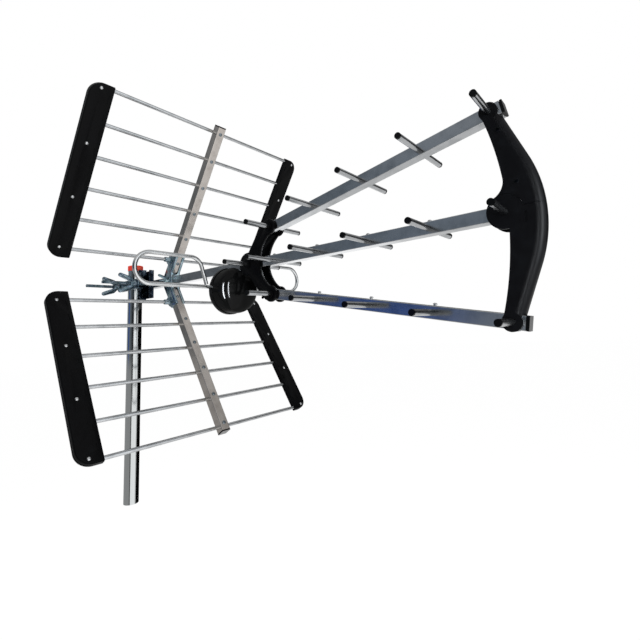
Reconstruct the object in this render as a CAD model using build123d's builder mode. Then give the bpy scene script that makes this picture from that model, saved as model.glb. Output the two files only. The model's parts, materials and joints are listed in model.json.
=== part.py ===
from build123d import *
import os
from math import asin, cos, hypot, radians, sin, sqrt

os.makedirs("parts", exist_ok=True)

# Outdoor UHF antenna: three booms of directors, a two-panel reflector and a folded dipole.
# Millimetres. The origin lies on the mast's centre line, at the height of the main boom's axis.
# +X points to the front of the antenna, +Z up, and the boom stands on the mast's +Y side.

# General fits and sheets
SEAT_GAP = 0.1
HOLE_PLAY = 0.15
RIVET_RADIUS = 2.0
RIVET_HEAD_RADIUS = 3.4
RIVET_HEAD = 2.2
RIVET_TAPER = 25.0
RIVET_NECK = 2.0
RIVET_NECK_RADIUS = 2.5
RIVET_LENGTH = 12.0

# Mast and its cap
MAST_RADIUS = 17.5
MAST_WALL = 1.5
MAST_FOOT = -547.0
MAST_TOP = 51.0
CAP_SKIRT = 11.5
CAP_WALL = 1.1
CAP_TOP = 2.2
CAP_ROUND = 1.8

# Mast clamp
JAW_SHEET = 2.5
MAST_SEAT = 1.4
JAW_LENGTH = 108.0
JAW_FORWARD = 4.0
JAW_HEIGHT = 74.0
JAW_FLANGE = 10.5
JAW_BEND = 2.0
SEAT_WALL_X = 21.0
SEAT_WALL_DEPTH = 19.0
SEAT_WALL_HEIGHT = 82.0
TOOTH_PITCH = 9.0
TOOTH_DEPTH = 4.0
COUNTER_HEIGHT = 26.0
COUNTER_FLANGE = 9.5
BOLT_SPREAD = 90.0
BOLT_RADIUS = 4.0
BOLT_LENGTH = 146.0
BOLT_HEAD_RADIUS = 7.2
BOLT_HEAD = 5.3

# Wing nuts
NUT_RADIUS = 8.5
NUT_LENGTH = 15.0
WING_SPAN = 25.0
WING_REACH = 46.0
WING_THICKNESS = 3.6
WING_LEAN = 14.0
WING_START = 1.5
WING_ROOT = 4.7
WING_SHOULDER = 18.0
WING_TIP_LOW = (42.3, 15.5)
WING_TIP_MID = 21.5
WING_TIP_HIGH = 38.6
NUT_TAPER = 6.0

# Booms
BOOM_SIZE = 20.0
BOOM_WALL = 1.4
BOOM_CORNER = 1.2
REFLECTOR_X = 100.0
MAIN_BOOM_REAR = -62.0
MAIN_BOOM_AHEAD = 19.0
OUTER_BOOM_X = 405.0
OUTER_BOOM_Z = 68.0
OUTER_BOOM_TILT = 10.0
OUTER_BOOM_REAR = -12.0
OUTER_BOOM_AHEAD = 16.0
PLUG_LIP = 4.6
PLUG_GROOVE = 1.2

# Directors
DIRECTOR_RADIUS = 4.9
DIRECTOR_LENGTH = 150.0
DIRECTOR_PITCH = 113.0
DIRECTOR_COUNT = 5
FIRST_DIRECTOR_X = 339.0
DIRECTOR_PLUG = 3.0
DIRECTOR_GROOVE = 0.5

# Reflector panels
PANEL_ANGLE = 32.0
ROD_RADIUS = 4.0
ROD_WALL = 0.8
ROD_PITCH = 68.0
ROD_FIRST = 64.0
ROD_COUNT = 6
ROD_LENGTH = 508.0
SPINE_DEPTH = 20.0
SPINE_START = 30.0
SPINE_END = 419.0
SPINE_PLUG_LIP = 3.0
SPINE_PLUG_GROOVE = 0.4
SCREW_RADIUS = 2.0
SCREW_HEAD_RADIUS = 4.0
SCREW_HEAD = 1.6
SCREW_TAPER = 20.0

# Reflector end plates
PLATE_GRIP = 16.0
PLATE_WIDTH = 43.0
PLATE_BOTTOM = 45.0
PLATE_TOP = 411.0
PLATE_CORNER = 27.0
PLATE_THICKNESS = 13.0
PLATE_BEVEL = 3.0
PLATE_SEAM = 0.8
PLATE_RIVET_IN = 24.0
PLATE_RIVETS = (69.0, 179.0, 291.0, 401.0)
DASH_LENGTH = 12.0
DASH_WIDTH = 2.0
DASH_HEIGHT = 0.9
DASH_IN = 7.0
DASH_STEPS = (0.18, 0.70)

# Reflector bracket
BRACKET_SHEET = 2.2
BRACKET_WEB_X = 44.0
BRACKET_REAR_X = 11.4
BRACKET_REAR_HALF = 16.0
BRACKET_END = 86.0
WINDOW_WIDTH = 13.0
WINDOW_START = 15.5
EAR_REACH = 24.0
EAR_WALL = 2.2
BRACKET_BOLT_X = 30.0
BRACKET_BOLT_LENGTH = 48.0
BRACKET_NUT_SCALE = 0.62
BRACKET_FOOT = ((8.5, -4.5), (-11.5, -7.3), (-13.5, 2.6))
CHEEK_HOLE_OFFSET = 10.0

# Dipole loops
DIPOLE_X = 265.0
DIPOLE_RADIUS = 4.0
DIPOLE_LOW = -42.0
DIPOLE_HIGH = 18.0
DIPOLE_REACH = 185.0
DIPOLE_BEND_Y = 80.6
DIPOLE_BEND = 26.0
DIPOLE_TIP_Y = 63.4
DIPOLE_TIP_Z = -37.0
DIPOLE_INNER_Y = 22.0
TERMINAL_Y = 31.0

# Dipole box
BOX_RADIUS = 51.5
BOX_Z = -48.5
BOX_BACK_DEPTH = 13.0
BOX_RIM_WIDTH = 6.0
BOX_STEP = 1.6
BOX_WALL = 2.4
COVER_SKIRT = 19.0
COVER_SHOULDER = 22.0
COVER_SHOULDER_IN = 13.9
COVER_DOME = 8.0
SADDLE_FLOOR = 3.0
BOARD_MARGIN = 4.0
BOARD_HEIGHT = 32.5
BOARD_DROP = 10.4
BOARD_THICKNESS = 1.6
POST_RADIUS = 4.0
SOCKET_Z = -78.0
SOCKET_RADIUS = 4.76
SOCKET_LENGTH = 12.0
SOCKET_NECK = 4.3
SOCKET_FLANGE_RADIUS = 6.5
SOCKET_FLANGE = 1.5
SOCKET_BORE = 2.6
SOCKET_HEX = 11.0
SOCKET_HEX_THICKNESS = 4.0

# Rear bow
REAR_CHEEK = 6.0
REAR_CHEEK_ROUND = 2.0
REAR_HUB_RADIUS = 24.5
REAR_BOSS_RADIUS = 16.0
REAR_BACK_EDGE = ((-14.0, 11.0), (-24.0, 1.5), (-44.0, -20.5), (-63.0, -45.0))
REAR_ARC_BACK = 29.5
REAR_ARC_END = (-2.0, -16.0)
REAR_SCREW_AT = (-20.2, 5.4)
REAR_COLLAR = 3.0
REAR_COLLAR_WALL = 4.0

# Front bow
BOW_HALF = 14.5
BOW_INNER_AHEAD = 4.3
BOW_INNER_RADIUS = 481.0
BOW_DEPTH = 44.9
BOW_OUTER_RADIUS = 200.0
BOW_ARC_HALF = 75.0
BOW_HUB_RADIUS = 24.0
BOW_HUB_BLEND = 25.0
BOW_HUB_LOW_BLEND = 8.0
BOW_LOBE_RADIUS = 13.0
BOW_ROUND = 12.0
BOW_FRONT_WALL = 18.0
BOW_SEAM = 0.4
BOW_SEAM_Z = 4.0
BOW_SCREWS = ((3.5, 115.1), (19.5, 37.1))
BOW_SLOT_AT = (25.5, -12.0)
BOW_SLOT_LENGTH = 17.0
BOW_SLOT_WIDTH = 3.6
BOW_SLOT_DEPTH = 1.2
BOW_SCREW_RADIUS = 1.6
BOW_SCREW_HEAD_RADIUS = 3.2
BOW_SCREW_HEAD = 1.4

# Values that follow from the sizes above
BOOM_HALF = BOOM_SIZE / 2
BOOM_Y = MAST_RADIUS + MAST_SEAT + JAW_SHEET + SEAT_GAP + BOOM_HALF
CHEEK_Y = BOOM_HALF + SEAT_GAP
SPINE_BACK = ROD_RADIUS + SEAT_GAP
SPINE_FRONT = SPINE_BACK + SPINE_DEPTH
SIN_PANEL = sin(radians(PANEL_ANGLE))
COS_PANEL = cos(radians(PANEL_ANGLE))
COS_TILT = cos(radians(OUTER_BOOM_TILT))
SIN_TILT = sin(radians(OUTER_BOOM_TILT))
ROD_PLACES = [ROD_FIRST + ROD_PITCH * k for k in range(ROD_COUNT)]
OUTER_PLACES = [DIRECTOR_PITCH * k for k in range(DIRECTOR_COUNT)]
MAIN_PLACES = [FIRST_DIRECTOR_X] + [OUTER_BOOM_X + s for s in OUTER_PLACES]
BOW_DIRECTOR_X = MAIN_PLACES[-1]
MAIN_BOOM_FRONT = BOW_DIRECTOR_X + MAIN_BOOM_AHEAD
OUTER_BOOM_FRONT = OUTER_PLACES[-1] + OUTER_BOOM_AHEAD
PLATE_INNER = ROD_LENGTH / 2 - PLATE_GRIP
PLATE_OUTER = PLATE_INNER + PLATE_WIDTH
PLATE_RIVET_Y = PLATE_INNER + PLATE_RIVET_IN
CLEAR_THROUGH = 2 * PLATE_OUTER
BOX_SEAM = DIPOLE_X
BOX_REAR = BOX_SEAM - BOX_BACK_DEPTH
BOX_STEP_X = BOX_SEAM - BOX_RIM_WIDTH
COVER_RADIUS = BOX_RADIUS - BOX_STEP
COVER_BACK = BOX_SEAM + SEAT_GAP
COVER_STRAIGHT = BOX_SEAM + COVER_SKIRT
COVER_SHOULDER_X = COVER_STRAIGHT + COVER_SHOULDER
COVER_SHOULDER_R = COVER_RADIUS - COVER_SHOULDER_IN
COVER_NOSE = COVER_SHOULDER_X + COVER_DOME
BOW_INNER_X = BOW_DIRECTOR_X + BOW_INNER_AHEAD
BOW_OUTER_X = BOW_INNER_X + BOW_DEPTH
BOW_SCREW_PLACES = [(BOW_DIRECTOR_X + ahead, z) for ahead, z in BOW_SCREWS]
REAR_SCREW_PLACE = (OUTER_BOOM_X + REAR_SCREW_AT[0], OUTER_BOOM_Z + REAR_SCREW_AT[1])
REAR_SCREW_PLACES = [REAR_SCREW_PLACE, (REAR_SCREW_PLACE[0], -REAR_SCREW_PLACE[1])]
FAR_SIDE = Plane.XZ.offset(-BOOM_Y)


def across(y=0.0):
    """Plane across the antenna: local x forward from the reflector's crossing, local y up."""
    return Plane(origin=(REFLECTOR_X, BOOM_Y - y, 0), x_dir=(1, 0, 0), z_dir=(0, -1, 0))


def facing(x, z=0.0):
    """Plane square to the main boom, seen from the front: local x to the far side, local y up."""
    return Plane(origin=(REFLECTOR_X + x, BOOM_Y, z), x_dir=(0, 1, 0), z_dir=(1, 0, 0))


def along_boom(s):
    """Plane square to the top boom at the distance s from its first director."""
    return Plane(
        origin=(
            REFLECTOR_X + OUTER_BOOM_X + s * COS_TILT,
            BOOM_Y,
            OUTER_BOOM_Z + s * SIN_TILT,
        ),
        x_dir=(0, 1, 0),
        z_dir=(COS_TILT, 0, SIN_TILT),
    )


def panel(n):
    """Plane of the upper reflector panel, n in front of the rods: local x across, local y up it."""
    return Plane(
        origin=(REFLECTOR_X + n * COS_PANEL, BOOM_Y, -n * SIN_PANEL),
        x_dir=(0, 1, 0),
        z_dir=(COS_PANEL, 0, -SIN_PANEL),
    )


def up_panel(t):
    """Plane square to the upper spine at the distance t from the crossing: local y forward."""
    return Plane(
        origin=(REFLECTOR_X + t * SIN_PANEL, BOOM_Y, t * COS_PANEL),
        x_dir=(0, -1, 0),
        z_dir=(SIN_PANEL, 0, COS_PANEL),
    )


def panel_point(t, n):
    """Side view point of the upper panel at t along it and n in front of it."""
    return (t * SIN_PANEL + n * COS_PANEL, t * COS_PANEL - n * SIN_PANEL)


def boom_point(s, rise=0.0):
    """Side view point of the top boom at s along it and rise above its axis."""
    return (
        OUTER_BOOM_X + s * COS_TILT - rise * SIN_TILT,
        OUTER_BOOM_Z + s * SIN_TILT + rise * COS_TILT,
    )


def flip(point):
    """The same side view point below the main boom."""
    return (point[0], -point[1])


def drill(point, radius):
    """Cuts a round hole across the antenna through a side view point."""
    with BuildSketch(across()) as hole_sketch:
        with Locations(point):
            Circle(radius)
    extrude(hole_sketch.sketch, amount=CLEAR_THROUGH, both=True, mode=Mode.SUBTRACT)


def write(piece, name):
    """Labels a finished piece and writes it."""
    piece.part.label = name
    export_step(piece.part, f"parts/{name}.step")


def mirrored(source, plane):
    """The same piece on the other side of a plane."""
    with BuildPart() as copy:
        mirror(source.part, about=plane)
    return copy


def square_tube(start_plane, length):
    """A square tube with rounded long edges, along the plane's normal."""
    with BuildSketch(start_plane) as section:
        RectangleRounded(BOOM_SIZE, BOOM_SIZE, BOOM_CORNER)
        Rectangle(BOOM_SIZE - 2 * BOOM_WALL, BOOM_SIZE - 2 * BOOM_WALL, mode=Mode.SUBTRACT)
    extrude(section.sketch, amount=length)


def end_plug(end_plane):
    """A push-in plug that closes a square tube: a core, a groove and a lip."""
    with BuildSketch(end_plane.offset(-2 * PLUG_LIP)) as core:
        Rectangle(BOOM_SIZE - 2 * BOOM_WALL, BOOM_SIZE - 2 * BOOM_WALL)
    extrude(core.sketch, amount=2 * PLUG_LIP + PLUG_GROOVE)
    with BuildSketch(end_plane.offset(PLUG_GROOVE)) as lip:
        RectangleRounded(BOOM_SIZE, BOOM_SIZE, BOOM_CORNER)
    extrude(lip.sketch, amount=PLUG_LIP - PLUG_GROOVE)


# Mast tube and cap
with BuildPart() as mast_tube:
    with BuildSketch(Plane.XY.offset(MAST_FOOT)):
        Circle(MAST_RADIUS)
        Circle(MAST_RADIUS - MAST_WALL, mode=Mode.SUBTRACT)
    extrude(amount=MAST_TOP - MAST_FOOT)
write(mast_tube, "mast_tube")

with BuildPart() as mast_cap:
    with BuildSketch(Plane.XY.offset(MAST_TOP - CAP_SKIRT)):
        Circle(MAST_RADIUS + SEAT_GAP + CAP_WALL)
    extrude(amount=CAP_SKIRT + SEAT_GAP + CAP_TOP)
    fillet(mast_cap.edges().group_by(Axis.Z)[-1], radius=CAP_ROUND)
    with BuildSketch(Plane.XY.offset(MAST_TOP - CAP_SKIRT)):
        Circle(MAST_RADIUS + SEAT_GAP)
    extrude(amount=CAP_SKIRT + SEAT_GAP, mode=Mode.SUBTRACT)
write(mast_cap, "mast_cap")


# Mast clamp
WEB_Y = MAST_RADIUS + MAST_SEAT
JAW_CENTRE_X = JAW_FORWARD
BOLT_PLACES = [-BOLT_SPREAD / 2, BOLT_SPREAD / 2]


def bolt_holes(depth):
    """Cuts the two clamp bolt holes through a jaw or the boom."""
    with BuildSketch(Plane.XZ) as holes:
        with Locations(*[(x, 0) for x in BOLT_PLACES]):
            Circle(BOLT_RADIUS + HOLE_PLAY)
    extrude(holes.sketch, amount=depth, both=True, mode=Mode.SUBTRACT)


with BuildPart() as clamp_main_jaw:
    with BuildSketch(Plane.XY.offset(-JAW_HEIGHT / 2)):
        with Locations((JAW_CENTRE_X, WEB_Y + JAW_SHEET)):
            Rectangle(
                JAW_LENGTH,
                JAW_SHEET + JAW_FLANGE,
                align=(Align.CENTER, Align.MAX),
            )
        with Locations((JAW_CENTRE_X, WEB_Y)):
            Rectangle(
                JAW_LENGTH - 2 * JAW_SHEET,
                JAW_FLANGE + JAW_SHEET,
                align=(Align.CENTER, Align.MAX),
                mode=Mode.SUBTRACT,
            )
    extrude(amount=JAW_HEIGHT)
    outer_bends = clamp_main_jaw.edges().filter_by(Axis.Z).group_by(Axis.Y)[-1]
    fillet(outer_bends, radius=JAW_BEND)
    # Toothed walls that stand on the web before and behind the mast
    for side in (-1, 1):
        wall_x = side * SEAT_WALL_X
        with BuildSketch(Plane(origin=(wall_x, 0, 0), x_dir=(0, 1, 0), z_dir=(1, 0, 0))):
            tooth_count = int(SEAT_WALL_HEIGHT // TOOTH_PITCH)
            with Locations((WEB_Y + SEAT_GAP, 0)):
                Rectangle(
                    SEAT_WALL_DEPTH,
                    SEAT_WALL_HEIGHT,
                    align=(Align.MAX, Align.CENTER),
                )
            with Locations((WEB_Y - SEAT_WALL_DEPTH, 0)):
                with GridLocations(TOOTH_PITCH, TOOTH_PITCH, 1, tooth_count):
                    Rectangle(TOOTH_DEPTH, TOOTH_DEPTH, rotation=45, mode=Mode.SUBTRACT)
        extrude(amount=JAW_SHEET / 2, both=True)
    bolt_holes(2 * BOOM_Y)
write(clamp_main_jaw, "clamp_main_jaw")

with BuildPart() as clamp_counter_jaw:
    with BuildSketch(Plane.YZ.offset(JAW_CENTRE_X - JAW_LENGTH / 2)):
        with Locations((-WEB_Y - JAW_SHEET, 0)):
            Rectangle(
                JAW_SHEET + COUNTER_FLANGE,
                COUNTER_HEIGHT,
                align=(Align.MIN, Align.CENTER),
            )
        with Locations((-WEB_Y, 0)):
            Rectangle(
                COUNTER_FLANGE + JAW_SHEET,
                COUNTER_HEIGHT - 2 * JAW_SHEET,
                align=(Align.MIN, Align.CENTER),
                mode=Mode.SUBTRACT,
            )
    extrude(amount=JAW_LENGTH)
    counter_bends = clamp_counter_jaw.edges().filter_by(Axis.X).group_by(Axis.Y)[0]
    fillet(counter_bends, radius=JAW_BEND)
    # Both flanges are cut to a vee that bears on the mast
    vee_tip = MAST_RADIUS * sqrt(2) + SEAT_GAP
    with BuildSketch(Plane.XY.offset(-COUNTER_HEIGHT)):
        with BuildLine():
            Polyline((0, -vee_tip), (vee_tip, 0), (-vee_tip, 0), close=True)
        make_face()
        with Locations((0, -WEB_Y)):
            Rectangle(
                4 * MAST_RADIUS,
                2 * MAST_RADIUS,
                align=(Align.CENTER, Align.MAX),
                mode=Mode.SUBTRACT,
            )
    extrude(amount=2 * COUNTER_HEIGHT, mode=Mode.SUBTRACT)
    bolt_holes(2 * BOOM_Y)
write(clamp_counter_jaw, "clamp_counter_jaw")

BOLT_SEAT_Y = BOOM_Y + BOOM_HALF + SEAT_GAP
with BuildPart() as clamp_bolts:
    with BuildSketch(Plane.XZ.offset(-BOLT_SEAT_Y)):
        with Locations(*[(x, 0) for x in BOLT_PLACES]):
            Circle(BOLT_RADIUS)
    extrude(amount=BOLT_LENGTH)
    with BuildSketch(Plane.XZ.offset(-BOLT_SEAT_Y)):
        with Locations(*[(x, 0) for x in BOLT_PLACES]):
            RegularPolygon(BOLT_HEAD_RADIUS, 6)
    extrude(amount=-BOLT_HEAD)
write(clamp_bolts, "clamp_bolts")


def wing_nut(seat_y, x, hole_radius, size):
    """A wing nut screwed on along -Y from its seat: a hub and two blades that flare outward."""
    with BuildSketch(Plane.XZ.offset(-seat_y)) as hub:
        with Locations((x, 0)):
            Circle(NUT_RADIUS * size)
    extrude(hub.sketch, amount=NUT_LENGTH * size, taper=NUT_TAPER)
    for side in (1, -1):
        blade_plane = Plane(
            origin=(x, seat_y, 0),
            x_dir=(0, -1, 0),
            z_dir=(cos(radians(WING_LEAN)), 0, -side * sin(radians(WING_LEAN))),
        )
        root = (WING_START * size, -side * WING_ROOT * size)
        tip_low = (WING_TIP_LOW[0] * size, -side * WING_TIP_LOW[1] * size)
        tip_mid = (WING_REACH * size, -side * WING_TIP_MID * size)
        tip_high = (WING_TIP_HIGH * size, -side * WING_SPAN * size)
        with BuildSketch(blade_plane) as blade:
            with BuildLine():
                Polyline(root, (NUT_LENGTH * size, -side * WING_ROOT * size), tip_low)
                ThreePointArc(tip_low, tip_mid, tip_high)
                Polyline(tip_high, (NUT_LENGTH * size, -side * WING_SHOULDER * size), root)
            make_face()
        extrude(blade.sketch, amount=WING_THICKNESS * size / 2, both=True)
    with BuildSketch(Plane.XZ.offset(-seat_y)) as bore:
        with Locations((x, 0)):
            Circle(hole_radius)
    extrude(bore.sketch, amount=3 * WING_REACH, both=True, mode=Mode.SUBTRACT)


CLAMP_NUT_Y = -WEB_Y - JAW_SHEET - SEAT_GAP
with BuildPart() as clamp_wing_nuts:
    for bolt_x in BOLT_PLACES:
        wing_nut(CLAMP_NUT_Y, bolt_x, BOLT_RADIUS + SEAT_GAP, 1.0)
write(clamp_wing_nuts, "clamp_wing_nuts")

with BuildPart() as bracket_bolt:
    with BuildSketch(across(-CHEEK_Y - BRACKET_SHEET - SEAT_GAP)):
        with Locations((BRACKET_BOLT_X, 0)):
            Circle(BOLT_RADIUS * BRACKET_NUT_SCALE)
    extrude(amount=BRACKET_BOLT_LENGTH)
    with BuildSketch(across(-CHEEK_Y - BRACKET_SHEET - SEAT_GAP)):
        with Locations((BRACKET_BOLT_X, 0)):
            RegularPolygon(BOLT_HEAD_RADIUS * BRACKET_NUT_SCALE, 6)
    extrude(amount=-BOLT_HEAD * BRACKET_NUT_SCALE)
write(bracket_bolt, "bracket_bolt")

with BuildPart() as bracket_wing_nut:
    wing_nut(
        BOOM_Y - CHEEK_Y - BRACKET_SHEET - SEAT_GAP,
        REFLECTOR_X + BRACKET_BOLT_X,
        BOLT_RADIUS * BRACKET_NUT_SCALE + SEAT_GAP,
        BRACKET_NUT_SCALE,
    )
write(bracket_wing_nut, "bracket_wing_nut")


# Reflector bracket: a folded channel with cheeks beside boom and spines, an open window
# over each spine's front and an ear round the innermost rod of each panel
def bracket_side():
    """Side view of the upper half of a cheek, down to the boom's axis."""
    lip = SPINE_FRONT + SEAT_GAP + BRACKET_SHEET
    fold_t = (BRACKET_WEB_X - lip * COS_PANEL) / SIN_PANEL
    return [
        (BRACKET_WEB_X, 0),
        panel_point(fold_t, lip),
        panel_point(BRACKET_END, lip),
        panel_point(BRACKET_END, SPINE_BACK),
        *[panel_point(ROD_FIRST + t, n) for t, n in BRACKET_FOOT],
        (BRACKET_REAR_X, BRACKET_REAR_HALF),
        (BRACKET_REAR_X, 0),
    ]


CHEEK_OUT = CHEEK_Y + BRACKET_SHEET
with BuildPart() as reflector_bracket:
    for half in (1, -1):
        side_points = [(x, half * z) for x, z in bracket_side()]
        with BuildSketch(across()):
            with BuildLine():
                Polyline(*side_points, close=True)
            make_face()
        extrude(amount=CHEEK_OUT, both=True)
    # The room inside the channel, for the boom and the two spines
    inner_x = BRACKET_WEB_X - BRACKET_SHEET
    inner_lip = SPINE_FRONT + SEAT_GAP
    inner_t = (inner_x - inner_lip * COS_PANEL) / SIN_PANEL
    for half in (1, -1):
        room = [
            (inner_x, 0),
            panel_point(inner_t, inner_lip),
            panel_point(2 * BRACKET_END, inner_lip),
            panel_point(2 * BRACKET_END, -BRACKET_END),
            (-BRACKET_END, 0),
        ]
        with BuildSketch(across()):
            with BuildLine():
                Polyline(*[(x, half * z) for x, z in room], close=True)
            make_face()
        extrude(amount=CHEEK_Y, both=True, mode=Mode.SUBTRACT)
    # Square hole for the boom and the open windows over the spines
    with BuildSketch(facing(0)):
        Rectangle(BOOM_SIZE + 2 * SEAT_GAP, BOOM_SIZE + 2 * SEAT_GAP)
        for half in (1, -1):
            window_centre = half * (WINDOW_START + WINDOW_WIDTH / 2)
            with Locations((0, window_centre)):
                Circle(WINDOW_WIDTH / 2)
                Rectangle(
                    WINDOW_WIDTH,
                    2 * BRACKET_END,
                    align=(Align.CENTER, Align.MIN if half > 0 else Align.MAX),
                )
    extrude(amount=2 * BRACKET_END, mode=Mode.SUBTRACT)
    # Ears round the rods
    for half in (1, -1):
        rod_point = (ROD_FIRST * SIN_PANEL, half * ROD_FIRST * COS_PANEL)
        for side in (1, -1):
            with BuildSketch(across(side * CHEEK_Y)):
                with Locations(rod_point):
                    Circle(ROD_RADIUS + SEAT_GAP + EAR_WALL)
            extrude(amount=side * (EAR_REACH - CHEEK_Y))
        drill(rod_point, ROD_RADIUS + SEAT_GAP)
        cheek_hole_x = ROD_FIRST * SIN_PANEL + CHEEK_HOLE_OFFSET
        cheek_hole_z = ROD_FIRST * COS_PANEL - CHEEK_HOLE_OFFSET
        drill((cheek_hole_x, half * cheek_hole_z), RIVET_RADIUS)
    drill((BRACKET_BOLT_X, 0), BOLT_RADIUS * BRACKET_NUT_SCALE + HOLE_PLAY)
write(reflector_bracket, "reflector_bracket")


# Booms
def rivet_holes(planes):
    """Cuts the rivet holes from the top of a boom, one for each plane along it."""
    for rivet_plane in planes:
        with BuildSketch(rivet_plane) as hole_sketch:
            Circle(RIVET_RADIUS + SEAT_GAP)
        extrude(hole_sketch.sketch, amount=-RIVET_LENGTH - RIVET_HEAD, mode=Mode.SUBTRACT)


def main_top(x):
    """Plane on the top of the main boom at x, its normal up."""
    return Plane(
        origin=(REFLECTOR_X + x, BOOM_Y, BOOM_HALF + SEAT_GAP), x_dir=(1, 0, 0), z_dir=(0, 0, 1)
    )


def outer_face(s, side):
    """Plane on the top boom's upper face (side 1) or lower face (side -1) at s, its normal out."""
    x, z = boom_point(s, side * (BOOM_HALF + SEAT_GAP))
    return Plane(
        origin=(REFLECTOR_X + x, BOOM_Y, z),
        x_dir=(COS_TILT, 0, SIN_TILT),
        z_dir=(-side * SIN_TILT, 0, side * COS_TILT),
    )


with BuildPart() as main_boom:
    square_tube(facing(MAIN_BOOM_REAR - REFLECTOR_X), MAIN_BOOM_FRONT - MAIN_BOOM_REAR + REFLECTOR_X)
    bolt_holes(2 * BOOM_Y)
    drill((BRACKET_BOLT_X, 0), BOLT_RADIUS * BRACKET_NUT_SCALE + HOLE_PLAY)
    for director_x in MAIN_PLACES:
        drill((director_x, 0), DIRECTOR_RADIUS + SEAT_GAP)
    rivet_holes([main_top(x) for x in MAIN_PLACES[:-1]])
write(main_boom, "main_boom")

def outer_boom(rivet_side):
    """The top boom with its rivet holes in the upper face (1) or the lower face (-1)."""
    with BuildPart() as boom:
        square_tube(along_boom(OUTER_BOOM_REAR), OUTER_BOOM_FRONT - OUTER_BOOM_REAR)
        end_plug(along_boom(OUTER_BOOM_FRONT))
        for place in OUTER_PLACES:
            drill(boom_point(place), DIRECTOR_RADIUS + SEAT_GAP)
        rivet_holes([outer_face(s, rivet_side) for s in OUTER_PLACES[1:-1]])
    return boom


# The bottom boom mirrors the top one, but its rivets are on its upper face too
write(outer_boom(1), "top_boom")
write(mirrored(outer_boom(-1), Plane.XY), "bottom_boom")


# Directors: closed rods with a push-in plug at each end
def director(point, rivet_plane=None):
    """One director across the antenna through a side view point."""
    with BuildPart() as rod:
        half = DIRECTOR_LENGTH / 2
        with BuildSketch(across()):
            with Locations(point):
                Circle(DIRECTOR_RADIUS)
        extrude(amount=half - DIRECTOR_PLUG, both=True)
        with BuildSketch(across()):
            with Locations(point):
                Circle(DIRECTOR_RADIUS - DIRECTOR_GROOVE)
        extrude(amount=half, both=True)
        for side in (1, -1):
            with BuildSketch(across(side * half)):
                with Locations(point):
                    Circle(DIRECTOR_RADIUS)
            extrude(amount=-side * (DIRECTOR_PLUG - DIRECTOR_GROOVE))
        if rivet_plane is not None:
            rivet_holes([rivet_plane])
    return rod


for number, director_x in enumerate(MAIN_PLACES, start=1):
    hole_plane = main_top(director_x) if director_x != MAIN_PLACES[-1] else None
    write(director((director_x, 0), hole_plane), f"main_director_{number}")
for number, place in enumerate(OUTER_PLACES, start=1):
    riveted = 0 < place < OUTER_PLACES[-1]
    top_hole, bottom_hole = [outer_face(place, side) if riveted else None for side in (1, -1)]
    write(director(boom_point(place), top_hole), f"top_director_{number}")
    bottom_director = mirrored(director(boom_point(place), bottom_hole), Plane.XY)
    write(bottom_director, f"bottom_director_{number}")


# Reflector spines, rods and screws
with BuildPart() as upper_spine:
    middle = up_panel(SPINE_START)
    with BuildSketch(middle):
        with Locations((0, SPINE_BACK + SPINE_DEPTH / 2)):
            RectangleRounded(BOOM_SIZE, SPINE_DEPTH, BOOM_CORNER)
            Rectangle(
                BOOM_SIZE - 2 * BOOM_WALL,
                SPINE_DEPTH - 2 * BOOM_WALL,
                mode=Mode.SUBTRACT,
            )
    extrude(amount=SPINE_END - SPINE_START)
    with BuildSketch(up_panel(SPINE_END - PLUG_LIP)):
        with Locations((0, SPINE_BACK + SPINE_DEPTH / 2)):
            Rectangle(BOOM_SIZE - 2 * BOOM_WALL, SPINE_DEPTH - 2 * BOOM_WALL)
    extrude(amount=PLUG_LIP + SPINE_PLUG_GROOVE)
    with BuildSketch(up_panel(SPINE_END + SPINE_PLUG_GROOVE)):
        with Locations((0, SPINE_BACK + SPINE_DEPTH / 2)):
            RectangleRounded(BOOM_SIZE, SPINE_DEPTH, BOOM_CORNER)
    extrude(amount=SPINE_PLUG_LIP - SPINE_PLUG_GROOVE)
    with BuildSketch(panel(0)):
        with Locations(*[(0, t) for t in ROD_PLACES]):
            Circle(SCREW_RADIUS + SEAT_GAP)
    extrude(amount=2 * SPINE_FRONT, mode=Mode.SUBTRACT)
write(upper_spine, "upper_spine")
write(mirrored(upper_spine, Plane.XY), "lower_spine")

for number, rod_t in enumerate(ROD_PLACES, start=1):
    with BuildPart() as upper_rod:
        with BuildSketch(across()):
            with Locations(panel_point(rod_t, 0)):
                Circle(ROD_RADIUS)
                Circle(ROD_RADIUS - ROD_WALL, mode=Mode.SUBTRACT)
        extrude(amount=ROD_LENGTH / 2, both=True)
        with BuildSketch(panel(0)):
            with Locations((0, rod_t)):
                Circle(SCREW_RADIUS + SEAT_GAP)
        extrude(amount=2 * ROD_RADIUS, mode=Mode.SUBTRACT)
    write(upper_rod, f"upper_reflector_rod_{number}")
    write(mirrored(upper_rod, Plane.XY), f"lower_reflector_rod_{number}")

with BuildPart() as spine_screws:
    with BuildSketch(panel(0)):
        with Locations(*[(0, t) for t in ROD_PLACES]):
            Circle(SCREW_RADIUS)
    extrude(amount=SPINE_FRONT + SEAT_GAP)
    with BuildSketch(panel(SPINE_FRONT + SEAT_GAP)):
        with Locations(*[(0, t) for t in ROD_PLACES]):
            Circle(SCREW_HEAD_RADIUS)
    extrude(amount=SCREW_HEAD, taper=SCREW_TAPER)
    mirror(spine_screws.part, about=Plane.XY)
write(spine_screws, "spine_screws")


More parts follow.
